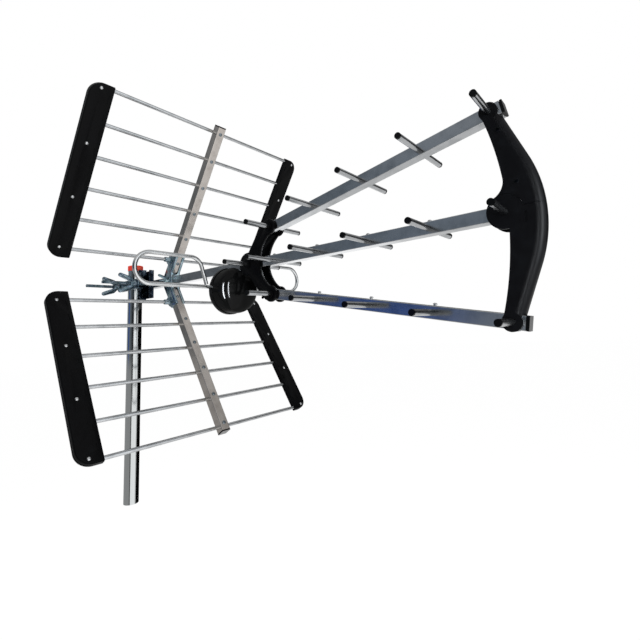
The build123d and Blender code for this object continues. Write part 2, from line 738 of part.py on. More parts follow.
# End plates of the reflector panels, with blind holes for the rods and moulded dashes
def plate_outline(margin=0.0, mode=Mode.ADD):
    """The near plate's outline, local x out from the boom and local y up the panel."""
    inner, outer = PLATE_INNER, PLATE_OUTER - margin
    low, high = PLATE_BOTTOM + margin, PLATE_TOP - margin
    corner = PLATE_CORNER - margin
    with BuildLine() as outline:
        Line((inner, low), (outer - corner, low))
        RadiusArc((outer - corner, low), (outer, low + corner), -corner)
        Line((outer, low + corner), (outer, high - corner))
        RadiusArc((outer, high - corner), (outer - corner, high), -corner)
        Line((outer - corner, high), (inner, high))
        Line((inner, high), (inner, low))
    make_face(outline.edges(), mode=mode)


with BuildPart() as far_upper_plate:
    half_plate = PLATE_THICKNESS / 2
    with BuildSketch(panel(-half_plate + PLATE_BEVEL / 2)):
        plate_outline()
    extrude(amount=PLATE_THICKNESS - PLATE_BEVEL)
    for level, way in ((half_plate - PLATE_BEVEL / 2, 1), (-half_plate + PLATE_BEVEL / 2, -1)):
        with BuildSketch(panel(level)):
            plate_outline(PLATE_BEVEL / 2)
        extrude(amount=way * PLATE_BEVEL / 2)
    # The groove where the two moulded shells meet
    with BuildSketch(panel(0)):
        plate_outline()
        plate_outline(PLATE_SEAM, Mode.SUBTRACT)
    extrude(amount=PLATE_SEAM / 2, both=True, mode=Mode.SUBTRACT)
    # Dashes along the inner side
    with BuildSketch(panel(half_plate)):
        dash_places = [
            ROD_FIRST + ROD_PITCH * (k + step)
            for k in range(ROD_COUNT - 1)
            for step in DASH_STEPS
        ]
        with Locations(*[(PLATE_INNER + DASH_IN, t) for t in dash_places]):
            Rectangle(DASH_WIDTH, DASH_LENGTH)
    extrude(amount=DASH_HEIGHT)
    for rod_t in ROD_PLACES:
        with BuildSketch(FAR_SIDE.offset(-PLATE_INNER)):
            rod_x, rod_z = panel_point(rod_t, 0)
            with Locations((REFLECTOR_X + rod_x, rod_z)):
                Circle(ROD_RADIUS + SEAT_GAP)
        extrude(amount=-(ROD_LENGTH / 2 - PLATE_INNER + SEAT_GAP), mode=Mode.SUBTRACT)
    with BuildSketch(panel(0)):
        with Locations(*[(PLATE_RIVET_Y, t) for t in PLATE_RIVETS]):
            Circle(RIVET_RADIUS + SEAT_GAP)
    extrude(amount=PLATE_THICKNESS, both=True, mode=Mode.SUBTRACT)
near_upper_plate = mirrored(far_upper_plate, FAR_SIDE)
write(far_upper_plate, "end_plate_upper_far")
write(near_upper_plate, "end_plate_upper_near")
write(mirrored(far_upper_plate, Plane.XY), "end_plate_lower_far")
write(mirrored(near_upper_plate, Plane.XY), "end_plate_lower_near")


# Blind rivets of the end plates and of the booms, all alike
def rivet(seat_plane, neck=0.0):
    """A blind rivet on the plane, its head raised on a neck of the given height."""
    with BuildSketch(seat_plane) as shank:
        Circle(RIVET_RADIUS)
    extrude(shank.sketch, amount=-RIVET_LENGTH)
    if neck:
        with BuildSketch(seat_plane) as collar:
            Circle(RIVET_NECK_RADIUS)
        extrude(collar.sketch, amount=neck)
    with BuildSketch(seat_plane.offset(neck)) as head:
        Circle(RIVET_HEAD_RADIUS)
    extrude(head.sketch, amount=RIVET_HEAD, taper=RIVET_TAPER)


with BuildPart() as plate_rivets:
    for rivet_t in PLATE_RIVETS:
        for side in (1, -1):
            rivet_seat = panel(PLATE_THICKNESS / 2 + SEAT_GAP)
            rivet(
                Plane(
                    origin=rivet_seat.from_local_coords((side * PLATE_RIVET_Y, rivet_t, 0)),
                    x_dir=rivet_seat.x_dir,
                    z_dir=rivet_seat.z_dir,
                )
            )
    mirror(plate_rivets.part, about=Plane.XY)

with BuildPart() as lower_face_rivets:
    for place in OUTER_PLACES[1:-1]:
        rivet(outer_face(place, -1), RIVET_NECK)
bottom_boom_rivets = mirrored(lower_face_rivets, Plane.XY)

with BuildPart() as blind_rivets:
    add(plate_rivets.part)
    add(bottom_boom_rivets.part)
    for place in OUTER_PLACES[1:-1]:
        rivet(outer_face(place, 1), RIVET_NECK)
    for director_x in MAIN_PLACES[:-1]:
        rivet(main_top(director_x), RIVET_NECK)
write(blind_rivets, "blind_rivets")


# Dipole loops: one bent rod each, from the box out and round to a closed tip
LOOP_PLANE = Plane(
    origin=(REFLECTOR_X + DIPOLE_X, BOOM_Y, 0), x_dir=(0, -1, 0), z_dir=(-1, 0, 0)
)
LOOP_HALF = (DIPOLE_HIGH - DIPOLE_LOW) / 2
with BuildPart() as dipole_loop_near:
    with BuildLine(LOOP_PLANE) as loop_path:
        Line((DIPOLE_INNER_Y, DIPOLE_LOW), (DIPOLE_REACH, DIPOLE_LOW))
        ThreePointArc(
            (DIPOLE_REACH, DIPOLE_LOW),
            (DIPOLE_REACH + LOOP_HALF, DIPOLE_LOW + LOOP_HALF),
            (DIPOLE_REACH, DIPOLE_HIGH),
        )
        FilletPolyline(
            (DIPOLE_REACH, DIPOLE_HIGH),
            (DIPOLE_BEND_Y, DIPOLE_HIGH),
            (DIPOLE_TIP_Y, DIPOLE_TIP_Z),
            radius=DIPOLE_BEND,
        )
    with BuildSketch(
        Plane(
            origin=LOOP_PLANE.from_local_coords((DIPOLE_INNER_Y, DIPOLE_LOW, 0)),
            z_dir=(0, -1, 0),
        )
    ):
        Circle(DIPOLE_RADIUS)
    sweep(path=loop_path.line)
    with BuildSketch(facing(0, 0)):
        with Locations((-TERMINAL_Y, DIPOLE_LOW)):
            Circle(RIVET_RADIUS + SEAT_GAP)
    extrude(amount=2 * DIPOLE_X, mode=Mode.SUBTRACT)
write(dipole_loop_near, "dipole_loop_near")
write(mirrored(dipole_loop_near, FAR_SIDE), "dipole_loop_far")


# Dipole box: a round base behind, a domed gloss cover in front, a saddle for the boom
def saddle_cut():
    """Cuts the notch that the boom lies in along the whole box."""
    with BuildSketch(facing(BOX_REAR - BOX_RADIUS)) as notch:
        with Locations((0, -BOOM_HALF - SEAT_GAP)):
            Rectangle(
                BOOM_SIZE + 2 * SEAT_GAP,
                2 * BOX_RADIUS,
                align=(Align.CENTER, Align.MIN),
            )
    extrude(notch.sketch, amount=4 * BOX_RADIUS, mode=Mode.SUBTRACT)


def room_sketch(radius):
    """The box's inside, seen from the front, kept clear of the boom's notch."""
    with Locations((0, BOX_Z)):
        Circle(radius)
    with Locations((0, -BOOM_HALF - SEAT_GAP - SADDLE_FLOOR)):
        Rectangle(
            3 * BOX_RADIUS,
            3 * BOX_RADIUS,
            align=(Align.CENTER, Align.MIN),
            mode=Mode.SUBTRACT,
        )


with BuildPart() as dipole_box_base:
    with BuildSketch(facing(BOX_REAR)):
        with Locations((0, BOX_Z)):
            Circle(BOX_RADIUS - 2 * BOX_STEP)
    extrude(amount=BOX_STEP_X - BOX_REAR - BOX_STEP)
    with BuildSketch(facing(BOX_STEP_X - BOX_STEP)):
        with Locations((0, BOX_Z)):
            Circle(BOX_RADIUS)
    extrude(amount=BOX_SEAM - BOX_STEP_X + BOX_STEP)
    with BuildSketch(facing(BOX_REAR + BOX_WALL)):
        room_sketch(BOX_RADIUS - 2 * BOX_STEP - BOX_WALL)
    extrude(amount=BOX_SEAM - BOX_REAR, mode=Mode.SUBTRACT)
    # Posts under the loops' inner ends
    with BuildSketch(facing(BOX_REAR + BOX_WALL)):
        for side in (-1, 1):
            with Locations((side * TERMINAL_Y, DIPOLE_LOW)):
                Circle(POST_RADIUS)
    extrude(amount=BOX_SEAM - DIPOLE_RADIUS - SEAT_GAP - BOX_REAR - BOX_WALL)
    saddle_cut()
    drill_plane = Plane(
        origin=(REFLECTOR_X + DIPOLE_X, BOOM_Y, DIPOLE_LOW), x_dir=(1, 0, 0), z_dir=(0, -1, 0)
    )
    with BuildSketch(drill_plane):
        Circle(DIPOLE_RADIUS + SEAT_GAP)
    extrude(amount=2 * BOX_RADIUS, both=True, mode=Mode.SUBTRACT)
    with BuildSketch(facing(BOX_REAR - BOX_WALL)):
        with Locations((0, SOCKET_Z)):
            Circle(SOCKET_NECK + SEAT_GAP)
    extrude(amount=3 * BOX_WALL, mode=Mode.SUBTRACT)
    with BuildSketch(facing(BOX_REAR + BOX_WALL)):
        for side in (-1, 1):
            with Locations((side * TERMINAL_Y, DIPOLE_LOW)):
                Circle(RIVET_RADIUS + SEAT_GAP)
    extrude(amount=BOX_SEAM, mode=Mode.SUBTRACT)
write(dipole_box_base, "dipole_box_base")

DOME_RADIUS = (COVER_SHOULDER_R**2 + COVER_DOME**2) / (2 * COVER_DOME)
DOME_HALF = asin(COVER_SHOULDER_R / DOME_RADIUS) / 2
COVER_AXIS = Axis((REFLECTOR_X, BOOM_Y, BOX_Z), (1, 0, 0))
COVER_PLANE = Plane(origin=(REFLECTOR_X, BOOM_Y, BOX_Z), x_dir=(1, 0, 0), z_dir=(0, -1, 0))
with BuildPart() as dipole_box_cover:
    with BuildSketch(COVER_PLANE):
        with BuildLine():
            Polyline((COVER_BACK, 0), (COVER_BACK, COVER_RADIUS), (COVER_STRAIGHT, COVER_RADIUS))
            TangentArc(
                (COVER_STRAIGHT, COVER_RADIUS),
                (COVER_SHOULDER_X, COVER_SHOULDER_R),
                tangent=(1, 0),
            )
            ThreePointArc(
                (COVER_SHOULDER_X, COVER_SHOULDER_R),
                (COVER_NOSE - DOME_RADIUS * (1 - cos(DOME_HALF)), DOME_RADIUS * sin(DOME_HALF)),
                (COVER_NOSE, 0),
            )
            Line((COVER_NOSE, 0), (COVER_BACK, 0))
        make_face()
    revolve(axis=COVER_AXIS)
    with BuildSketch(facing(COVER_BACK - SEAT_GAP)):
        room_sketch(COVER_RADIUS - BOX_WALL)
    extrude(amount=COVER_STRAIGHT - COVER_BACK + SEAT_GAP, mode=Mode.SUBTRACT)
    saddle_cut()
    with BuildSketch(drill_plane):
        Circle(DIPOLE_RADIUS + SEAT_GAP)
    extrude(amount=2 * BOX_RADIUS, both=True, mode=Mode.SUBTRACT)
write(dipole_box_cover, "dipole_box_cover")

BOARD_X = BOX_SEAM + DIPOLE_RADIUS + 2 * SEAT_GAP
with BuildPart() as balun_board:
    with BuildSketch(facing(BOARD_X)):
        with Locations((0, DIPOLE_LOW - BOARD_DROP)):
            Rectangle(2 * (TERMINAL_Y + BOARD_MARGIN), BOARD_HEIGHT)
        with Locations((-TERMINAL_Y, DIPOLE_LOW), (TERMINAL_Y, DIPOLE_LOW)):
            Circle(RIVET_RADIUS + SEAT_GAP, mode=Mode.SUBTRACT)
    extrude(amount=BOARD_THICKNESS)
write(balun_board, "balun_board")

with BuildPart() as terminal_screws:
    screw_seat = BOARD_X + BOARD_THICKNESS + SEAT_GAP
    with BuildSketch(facing(screw_seat)):
        with Locations((-TERMINAL_Y, DIPOLE_LOW), (TERMINAL_Y, DIPOLE_LOW)):
            Circle(RIVET_RADIUS)
    extrude(amount=-(screw_seat - BOX_REAR - BOX_WALL - SEAT_GAP))
    with BuildSketch(facing(screw_seat)):
        with Locations((-TERMINAL_Y, DIPOLE_LOW), (TERMINAL_Y, DIPOLE_LOW)):
            Circle(RIVET_HEAD_RADIUS)
    extrude(amount=RIVET_HEAD)
write(terminal_screws, "terminal_screws")

with BuildPart() as coax_socket:
    flange_back = BOX_REAR - SEAT_GAP
    thread_back = flange_back - SOCKET_FLANGE
    nut_back = BOX_REAR + BOX_WALL + SEAT_GAP
    with BuildSketch(facing(flange_back)):
        with Locations((0, SOCKET_Z)):
            Circle(SOCKET_NECK)
    extrude(amount=nut_back - flange_back)
    with BuildSketch(facing(flange_back)):
        with Locations((0, SOCKET_Z)):
            Circle(SOCKET_FLANGE_RADIUS)
    extrude(amount=-SOCKET_FLANGE)
    with BuildSketch(facing(thread_back)):
        with Locations((0, SOCKET_Z)):
            Circle(SOCKET_RADIUS)
    extrude(amount=-SOCKET_LENGTH)
    with BuildSketch(facing(nut_back)):
        with Locations((0, SOCKET_Z)):
            RegularPolygon(SOCKET_HEX / 2, 6, major_radius=False)
    extrude(amount=SOCKET_HEX_THICKNESS)
    with BuildSketch(facing(thread_back - SOCKET_LENGTH)):
        with Locations((0, SOCKET_Z)):
            Circle(SOCKET_BORE)
    extrude(amount=SOCKET_LENGTH, mode=Mode.SUBTRACT)
write(coax_socket, "coax_socket")


# Rear bow: two crescent cheeks that hold the rear ends of the outer booms on the main boom
def rear_cheek_outline():
    """Crescent in side view with a hub on the main boom and a boss at each outer boom."""
    upper = [(OUTER_BOOM_X + x, OUTER_BOOM_Z + z) for x, z in REAR_BACK_EDGE]
    arc_end = (OUTER_BOOM_X + REAR_ARC_END[0], OUTER_BOOM_Z + REAR_ARC_END[1])
    with BuildLine() as outline:
        Polyline(*upper, *[flip(p) for p in reversed(upper)])
        Line(flip(upper[0]), flip(arc_end))
        ThreePointArc(flip(arc_end), (OUTER_BOOM_X - REAR_ARC_BACK, 0), arc_end)
        Line(arc_end, upper[0])
    make_face(outline.edges())
    with Locations((FIRST_DIRECTOR_X, 0)):
        Circle(REAR_HUB_RADIUS)
    with Locations((OUTER_BOOM_X, OUTER_BOOM_Z), (OUTER_BOOM_X, -OUTER_BOOM_Z)):
        Circle(REAR_BOSS_RADIUS)


REAR_HOLES = [(FIRST_DIRECTOR_X, 0), (OUTER_BOOM_X, OUTER_BOOM_Z), (OUTER_BOOM_X, -OUTER_BOOM_Z)]
with BuildPart() as rear_bow_near:
    with BuildSketch(across(CHEEK_Y)):
        rear_cheek_outline()
    extrude(amount=REAR_CHEEK)
    fillet(rear_bow_near.faces().sort_by(Axis.Y)[0].edges(), radius=REAR_CHEEK_ROUND)
    with BuildSketch(across(CHEEK_Y)):
        with Locations(*REAR_HOLES):
            Circle(DIRECTOR_RADIUS + REAR_COLLAR_WALL)
    extrude(amount=REAR_CHEEK + REAR_COLLAR)
    for hole in REAR_HOLES:
        drill(hole, DIRECTOR_RADIUS + SEAT_GAP)
    for hole in REAR_SCREW_PLACES:
        drill(hole, BOW_SCREW_RADIUS + SEAT_GAP)
write(rear_bow_near, "rear_bow_near")
write(mirrored(rear_bow_near, FAR_SIDE), "rear_bow_far")


# Front bow: a hollow crescent in two moulded halves over the front ends of the booms
LOBE_CENTRE = boom_point(OUTER_PLACES[-1])


def bow_arc_x(apex, radius, z):
    """How far forward a bow arc lies at the height z."""
    return apex - radius + sqrt(radius**2 - z**2)


def bow_outline(inset=0.0, open_back=0.0):
    """The bow in side view, shrunk by inset in front and moved back by open_back behind."""
    height = LOBE_CENTRE[1]
    arc_end = bow_arc_x(BOW_OUTER_X, BOW_OUTER_RADIUS, BOW_ARC_HALF) - inset
    slope = BOW_ARC_HALF / sqrt(BOW_OUTER_RADIUS**2 - BOW_ARC_HALF**2)
    outer_end = arc_end - slope * (height - BOW_ARC_HALF)
    inner_end = bow_arc_x(BOW_INNER_X, BOW_INNER_RADIUS, height) - open_back
    with BuildLine() as outline:
        Line((outer_end, -height), (arc_end, -BOW_ARC_HALF))
        ThreePointArc(
            (arc_end, -BOW_ARC_HALF), (BOW_OUTER_X - inset, 0), (arc_end, BOW_ARC_HALF)
        )
        Line((arc_end, BOW_ARC_HALF), (outer_end, height))
        Line((outer_end, height), (inner_end, height))
        ThreePointArc(
            (inner_end, height), (BOW_INNER_X - open_back, 0), (inner_end, -height)
        )
        Line((inner_end, -height), (outer_end, -height))
    make_face(outline.edges())


def on_hub(corner):
    """Whether a corner of the side view lies on the hub's circle."""
    return abs(hypot(corner.X - BOW_DIRECTOR_X, corner.Y) - BOW_HUB_RADIUS) < SEAT_GAP


def on_front_edge(edge):
    """Whether an edge runs along the front of one of the bow's cheeks."""
    middle = edge.center()
    return middle.X > REFLECTOR_X + BOW_INNER_X and abs(middle.Y - BOOM_Y) > BOW_HALF - SEAT_GAP


with BuildPart() as bow_blank:
    with BuildSketch(across()) as bow_side:
        bow_outline()
        with Locations((BOW_DIRECTOR_X, 0)):
            Circle(BOW_HUB_RADIUS)
        low_corner, high_corner = bow_side.vertices().filter_by(on_hub).sort_by(Axis.Y)
        fillet(high_corner, radius=BOW_HUB_BLEND)
        fillet(low_corner, radius=BOW_HUB_LOW_BLEND)
    extrude(amount=BOW_HALF, both=True)
    fillet(bow_blank.edges().filter_by(on_front_edge), radius=BOW_ROUND)
    with BuildSketch(across()):
        with Locations(LOBE_CENTRE, flip(LOBE_CENTRE)):
            Circle(BOW_LOBE_RADIUS)
    extrude(amount=BOW_HALF, both=True)
    # A long slot in each cheek beside the hub
    for side in (1, -1):
        with BuildSketch(across(side * BOW_HALF)):
            with Locations((BOW_DIRECTOR_X + BOW_SLOT_AT[0], BOW_SLOT_AT[1])):
                SlotOverall(BOW_SLOT_LENGTH, BOW_SLOT_WIDTH, rotation=90)
        extrude(amount=-side * BOW_SLOT_DEPTH, mode=Mode.SUBTRACT)
    # The channel for the booms, open at the back
    with BuildSketch(across()):
        bow_outline(BOW_FRONT_WALL, 2 * BOW_HUB_RADIUS)
    extrude(amount=BOOM_HALF + SEAT_GAP, both=True, mode=Mode.SUBTRACT)
    for tilt_side in (1, -1):
        tip_plane = along_boom(OUTER_PLACES[-1] - 2 * BOW_DEPTH)
        with BuildSketch(tip_plane if tilt_side > 0 else Plane(
            origin=(tip_plane.origin.X, BOOM_Y, -tip_plane.origin.Z),
            x_dir=(0, 1, 0),
            z_dir=(COS_TILT, 0, -SIN_TILT),
        )):
            Rectangle(BOOM_SIZE + 2 * SEAT_GAP, BOOM_SIZE + 2 * SEAT_GAP)
        extrude(amount=4 * BOW_DEPTH, mode=Mode.SUBTRACT)
    for hole in (LOBE_CENTRE, flip(LOBE_CENTRE), (BOW_DIRECTOR_X, 0)):
        drill(hole, DIRECTOR_RADIUS + SEAT_GAP)
    for hole in BOW_SCREW_PLACES:
        drill(hole, BOW_SCREW_RADIUS + SEAT_GAP)


def lower_region(gap=0.0):
    """Everything below the parting line, which steps up round the hub."""
    with BuildSketch(across()) as region:
        with Locations((BOW_DIRECTOR_X, BOW_SEAM_Z + gap)):
            Rectangle(
                2 * BOW_OUTER_RADIUS, 2 * BOW_OUTER_RADIUS, align=(Align.CENTER, Align.MAX)
            )
        with Locations((BOW_DIRECTOR_X, 0)):
            Circle(BOW_HUB_RADIUS + gap)
    return region.sketch


with BuildPart() as front_bow_upper:
    add(bow_blank.part)
    extrude(lower_region(BOW_SEAM), amount=2 * BOW_HALF, both=True, mode=Mode.SUBTRACT)
write(front_bow_upper, "front_bow_upper")

with BuildPart() as front_bow_lower:
    add(bow_blank.part)
    extrude(lower_region(), amount=2 * BOW_HALF, both=True, mode=Mode.INTERSECT)
write(front_bow_lower, "front_bow_lower")


# Screws that pull the two cheeks of each bow together
with BuildPart() as bow_screws:
    for hole in BOW_SCREW_PLACES:
        with BuildSketch(across(-BOW_HALF)):
            with Locations(hole):
                Circle(BOW_SCREW_RADIUS)
        extrude(amount=2 * BOW_HALF + SEAT_GAP)
        with BuildSketch(across(BOW_HALF + SEAT_GAP)):
            with Locations(hole):
                Circle(BOW_SCREW_HEAD_RADIUS)
        extrude(amount=BOW_SCREW_HEAD)
    for hole in REAR_SCREW_PLACES:
        with BuildSketch(across(-CHEEK_Y - REAR_CHEEK)):
            with Locations(hole):
                Circle(BOW_SCREW_RADIUS)
        extrude(amount=2 * (CHEEK_Y + REAR_CHEEK) + SEAT_GAP)
        with BuildSketch(across(CHEEK_Y + REAR_CHEEK + SEAT_GAP)):
            with Locations(hole):
                Circle(BOW_SCREW_HEAD_RADIUS)
        extrude(amount=BOW_SCREW_HEAD)
write(bow_screws, "bow_screws")
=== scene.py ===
"""Outdoor TV antenna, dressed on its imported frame: finishes, fine detail and studio."""
import json
import logging
import math
from collections.abc import Callable
from dataclasses import dataclass
from enum import Enum

import bpy
from bpy.types import Material, MeshPolygon, Node, NodeSocket, NodeTree, Object, World
from mathutils import Matrix, Vector

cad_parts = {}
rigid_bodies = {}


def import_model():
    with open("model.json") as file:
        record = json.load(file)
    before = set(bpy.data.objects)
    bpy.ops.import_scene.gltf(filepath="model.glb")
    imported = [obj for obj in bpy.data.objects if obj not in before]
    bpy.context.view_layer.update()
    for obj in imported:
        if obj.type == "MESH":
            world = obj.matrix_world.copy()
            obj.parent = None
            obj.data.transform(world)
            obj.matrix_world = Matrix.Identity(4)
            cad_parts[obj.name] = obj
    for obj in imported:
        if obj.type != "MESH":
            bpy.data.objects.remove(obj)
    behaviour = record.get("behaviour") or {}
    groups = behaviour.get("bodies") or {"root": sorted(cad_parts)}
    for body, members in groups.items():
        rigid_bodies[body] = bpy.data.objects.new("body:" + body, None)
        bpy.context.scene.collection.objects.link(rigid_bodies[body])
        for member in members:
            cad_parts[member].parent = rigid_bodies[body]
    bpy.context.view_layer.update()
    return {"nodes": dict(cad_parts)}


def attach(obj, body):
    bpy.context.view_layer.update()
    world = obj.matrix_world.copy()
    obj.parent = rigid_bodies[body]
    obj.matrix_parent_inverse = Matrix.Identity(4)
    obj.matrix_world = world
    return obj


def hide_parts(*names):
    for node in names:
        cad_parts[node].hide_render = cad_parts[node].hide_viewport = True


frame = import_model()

logging.basicConfig(level=logging.INFO, format="%(message)s")
log = logging.getLogger("antenna")

Colour = tuple[float, float, float, float]
Triple = tuple[float, float, float]
Pairs = tuple[tuple[float, float], ...]
Seat = tuple[Vector, Vector]

MM = 0.001
SEAT_GAP = 0.1 * MM
BOOM_Y = 31.5 * MM
# The outer booms' slope and the reflector panels' lean
TILT = math.radians(10.0)
PANEL = math.radians(32.0)
# Millimetres from the mast to the reflector's crossing, and from there to an outer boom's rear end
CROSSING_X = 100.0
OUTER_RUN = 405.0
OUTER_RISE = 68.0
CROSSING = Vector((CROSSING_X * MM, BOOM_Y, 0.0))
OUTER_REAR = Vector(((CROSSING_X + OUTER_RUN) * MM, BOOM_Y, OUTER_RISE * MM))
BLACK = "#030304"
WHITE = (1.0, 1.0, 1.0, 1.0)
# A thread's depth for a pitch of one, and the straight steps in one of its turns
THREAD_DEPTH = 0.62
TURN_STEPS = 16
# An edge of turned metal that bends more than this stays sharp
SHARP = math.radians(40.0)


class Half(Enum):
    """Which half of the antenna, above or below the main boom."""

    UPPER = 1
    LOWER = -1


class Grain(Enum):
    """Which way a rolled or drawn surface's fine lines run."""

    ALONG_X = "x"
    ALONG_Y = "y"
    ALONG_Z = "z"


def linear(code: str) -> Colour:
    """Turns an sRGB hex colour such as "#8a9099" to linear light.

    Args:
        code: the colour as written.

    Returns:
        Red, green, blue and alpha.
    """
    parts = [int(code[i : i + 2], 16) / 255 for i in (1, 3, 5)]
    light = [p / 12.92 if p <= 0.04045 else ((p + 0.055) / 1.055) ** 2.4 for p in parts]
    return (light[0], light[1], light[2], 1.0)


def add_node(
    tree: NodeTree,
    kind: str,
    settings: dict | None = None,
    links: dict | None = None,
) -> Node:
    """Adds a node with its settings and links.

    Args:
        tree: the material's or world's node tree.
        kind: the node's type.
        settings: node attributes, or values of inputs by name or number.
        links: the output socket that feeds each input, by name or number.

    Returns:
        The new node.
    """
    node = tree.nodes.new(kind)
    for key, value in (settings or {}).items():
        if isinstance(key, str) and hasattr(node, key):
            setattr(node, key, value)
        else:
            node.inputs[key].default_value = value
    for key, output in (links or {}).items():
        tree.links.new(output, node.inputs[key])
    return node


def set_ramp(node: Node, stops: list[tuple[float, Colour]]) -> None:
    """Gives a colour ramp its stops, from low to high.

    Args:
        node: the ramp's node.
        stops: place and colour of each stop.
    """
    elements = node.color_ramp.elements
    while len(elements) < len(stops):
        elements.new(0.5)
    for element, (place, colour) in zip(elements, stops):
        element.position = place
        element.color = colour


def empty_tree(owner: Material | World) -> NodeTree:
    """Gives a material or the world an empty node tree.

    Args:
        owner: the material or world.

    Returns:
        Its tree.
    """
    owner.use_nodes = True
    owner.node_tree.nodes.clear()
    return owner.node_tree


def new_material(name: str) -> tuple[Material, NodeTree, Node, NodeSocket]:
    """Starts a finish: a material with a shader, an output and Object coordinates.

    Args:
        name: the finish's plain name.

    Returns:
        The material, its tree, its shader node and the place on the piece in metres.
    """
    material = bpy.data.materials.new(name)
    tree = empty_tree(material)
    output = add_node(tree, "ShaderNodeOutputMaterial")
    shader = add_node(tree, "ShaderNodeBsdfPrincipled")
    tree.links.new(shader.outputs["BSDF"], output.inputs["Surface"])
    return material, tree, shader, add_node(tree, "ShaderNodeTexCoord").outputs["Object"]


def give_surface(
    tree: NodeTree,
    shader: Node,
    colour: NodeSocket,
    shine: tuple[NodeSocket, float, float],
    relief: tuple[NodeSocket, float, float],
    span: tuple[float, float] = (0.0, 1.0),
) -> None:
    """Links a finish's colour, its varied roughness and its fine relief to the shader.

    Args:
        tree: the material's node tree.
        shader: its shader node.
        colour: the colour that the eye sees.
        shine: the pattern that the roughness follows, and the least and the most roughness.
        relief: the pattern that stands up, how strongly, and how high in metres.
        span: the values of the first pattern at the least and the most roughness.
    """
    ends = {"From Min": span[0], "From Max": span[1], "To Min": shine[1], "To Max": shine[2]}
    rough = add_node(tree, "ShaderNodeMapRange", ends, {"Value": shine[0]})
    raised = {"Strength": relief[1], "Distance": relief[2]}
    bump = add_node(tree, "ShaderNodeBump", raised, {"Height": relief[0]})
    tree.links.new(colour, shader.inputs["Base Color"])
    tree.links.new(rough.outputs[0], shader.inputs["Roughness"])
    tree.links.new(bump.outputs[0], shader.inputs["Normal"])


@dataclass(frozen=True)
class DrawnTube:
    """Polished steel tube with faint draw lines, which shows long crisp light and dark bands."""

    name: str = "bright_steel_tube"
    tone: str = "#d2d5d5"
    line: str = "#bcc0c1"
    roughness: tuple[float, float] = (0.08, 0.14)
    line_bump: float = 0.08

    def build(self) -> Material:
        """Builds the material.

        Returns:
            The material.
        """
        material, tree, shader, place = new_material(self.name)
        # Draw lines 0.6 mm apart round the tube and long along it
        drawn = {"Scale": (1600.0, 1600.0, 6.0)}
        lines = add_node(tree, "ShaderNodeMapping", drawn, {"Vector": place})
        fine = {"Scale": 1.0, "Detail": 3.0}
        noise = add_node(tree, "ShaderNodeTexNoise", fine, {"Vector": lines.outputs[0]})
        grain = noise.outputs["Fac"]
        tones = {"data_type": "RGBA", 6: linear(self.tone), 7: linear(self.line)}
        mixed = add_node(tree, "ShaderNodeMix", tones, {"Factor": grain})
        shine, relief = (grain, *self.roughness), (grain, self.line_bump, 0.1 * MM)
        give_surface(tree, shader, mixed.outputs[2], shine, relief)
        shader.inputs["Metallic"].default_value = 1.0
        return material


@dataclass(frozen=True)
class RolledAluminium:
    """Mill-finish aluminium with fine die lines and faint oxide clouds, which mirrors softly.

    The plug or cap at the end, where there is one, is black moulded plastic on the same piece.
    """

    name: str
    grain: Grain
    tone: str = "#c2c4c6"
    cloud: str = "#a9acae"
    turn: float = 0.0
    plug_way: Triple = (1.0, 0.0, 0.0)
    # Metres, and without a plug further than any piece reaches
    plug_from: float = 10.0
    roughness: tuple[float, float] = (0.12, 0.2)
    line_bump: float = 0.05

    def build(self) -> Material:
        """Builds the material.

        Returns:
            The material.
        """
        material, tree, shader, place = new_material(self.name)
        # Die lines half a millimetre apart and about a decimetre long
        fine, long_way = 1900.0, 9.0
        scale = {
            Grain.ALONG_X: (long_way, fine, fine),
            Grain.ALONG_Y: (fine, long_way, fine),
            Grain.ALONG_Z: (fine, fine, long_way),
        }[self.grain]
        turn = {"rotation_type": "Y_AXIS", "Angle": self.turn}
        turned = add_node(tree, "ShaderNodeVectorRotate", turn, {"Vector": place})
        lines = add_node(tree, "ShaderNodeMapping", {"Scale": scale}, {"Vector": turned.outputs[0]})
        drawn = {"Scale": 1.0, "Detail": 2.0}
        noise = add_node(tree, "ShaderNodeTexNoise", drawn, {"Vector": lines.outputs[0]})
        grain = noise.outputs["Fac"]
        # Cloudy oxide patches a few centimetres across
        oxide = {"Scale": 38.0, "Detail": 5.0, "Roughness": 0.6}
        cloud = add_node(tree, "ShaderNodeTexNoise", oxide, {"Vector": place})
        edges = {"From Min": 0.45, "From Max": 0.7}
        patch = add_node(tree, "ShaderNodeMapRange", edges, {"Value": cloud.outputs["Fac"]})
        tones = {"data_type": "RGBA", 6: linear(self.tone), 7: linear(self.cloud)}
        skin = add_node(tree, "ShaderNodeMix", tones, {"Factor": patch.outputs[0]})
        # The black plug begins at a fixed distance along the piece, above and below alike
        away = {"operation": "SUBTRACT", 1: tuple(CROSSING)}
        offset = add_node(tree, "ShaderNodeVectorMath", away, {0: place})
        folded = add_node(
            tree, "ShaderNodeVectorMath", {"operation": "ABSOLUTE"}, {0: offset.outputs[0]}
        )
        along = {"operation": "DOT_PRODUCT", 1: self.plug_way}
        reach = add_node(tree, "ShaderNodeVectorMath", along, {0: folded.outputs[0]})
        beyond = {"operation": "GREATER_THAN", 1: self.plug_from}
        plug = add_node(tree, "ShaderNodeMath", beyond, {0: reach.outputs["Value"]})
        base = add_node(
            tree,
            "ShaderNodeMix",
            {"data_type": "RGBA", 7: linear(BLACK)},
            {"Factor": plug.outputs[0], 6: skin.outputs[2]},
        )
        rest = {"operation": "SUBTRACT", 0: 1.0}
        metal = add_node(tree, "ShaderNodeMath", rest, {1: plug.outputs[0]})
        tree.links.new(metal.outputs[0], shader.inputs["Metallic"])
        shine, relief = (grain, *self.roughness), (grain, self.line_bump, 0.1 * MM)
        give_surface(tree, shader, base.outputs[2], shine, relief)
        shader.inputs["Specular IOR Level"].default_value = 0.2
        return material


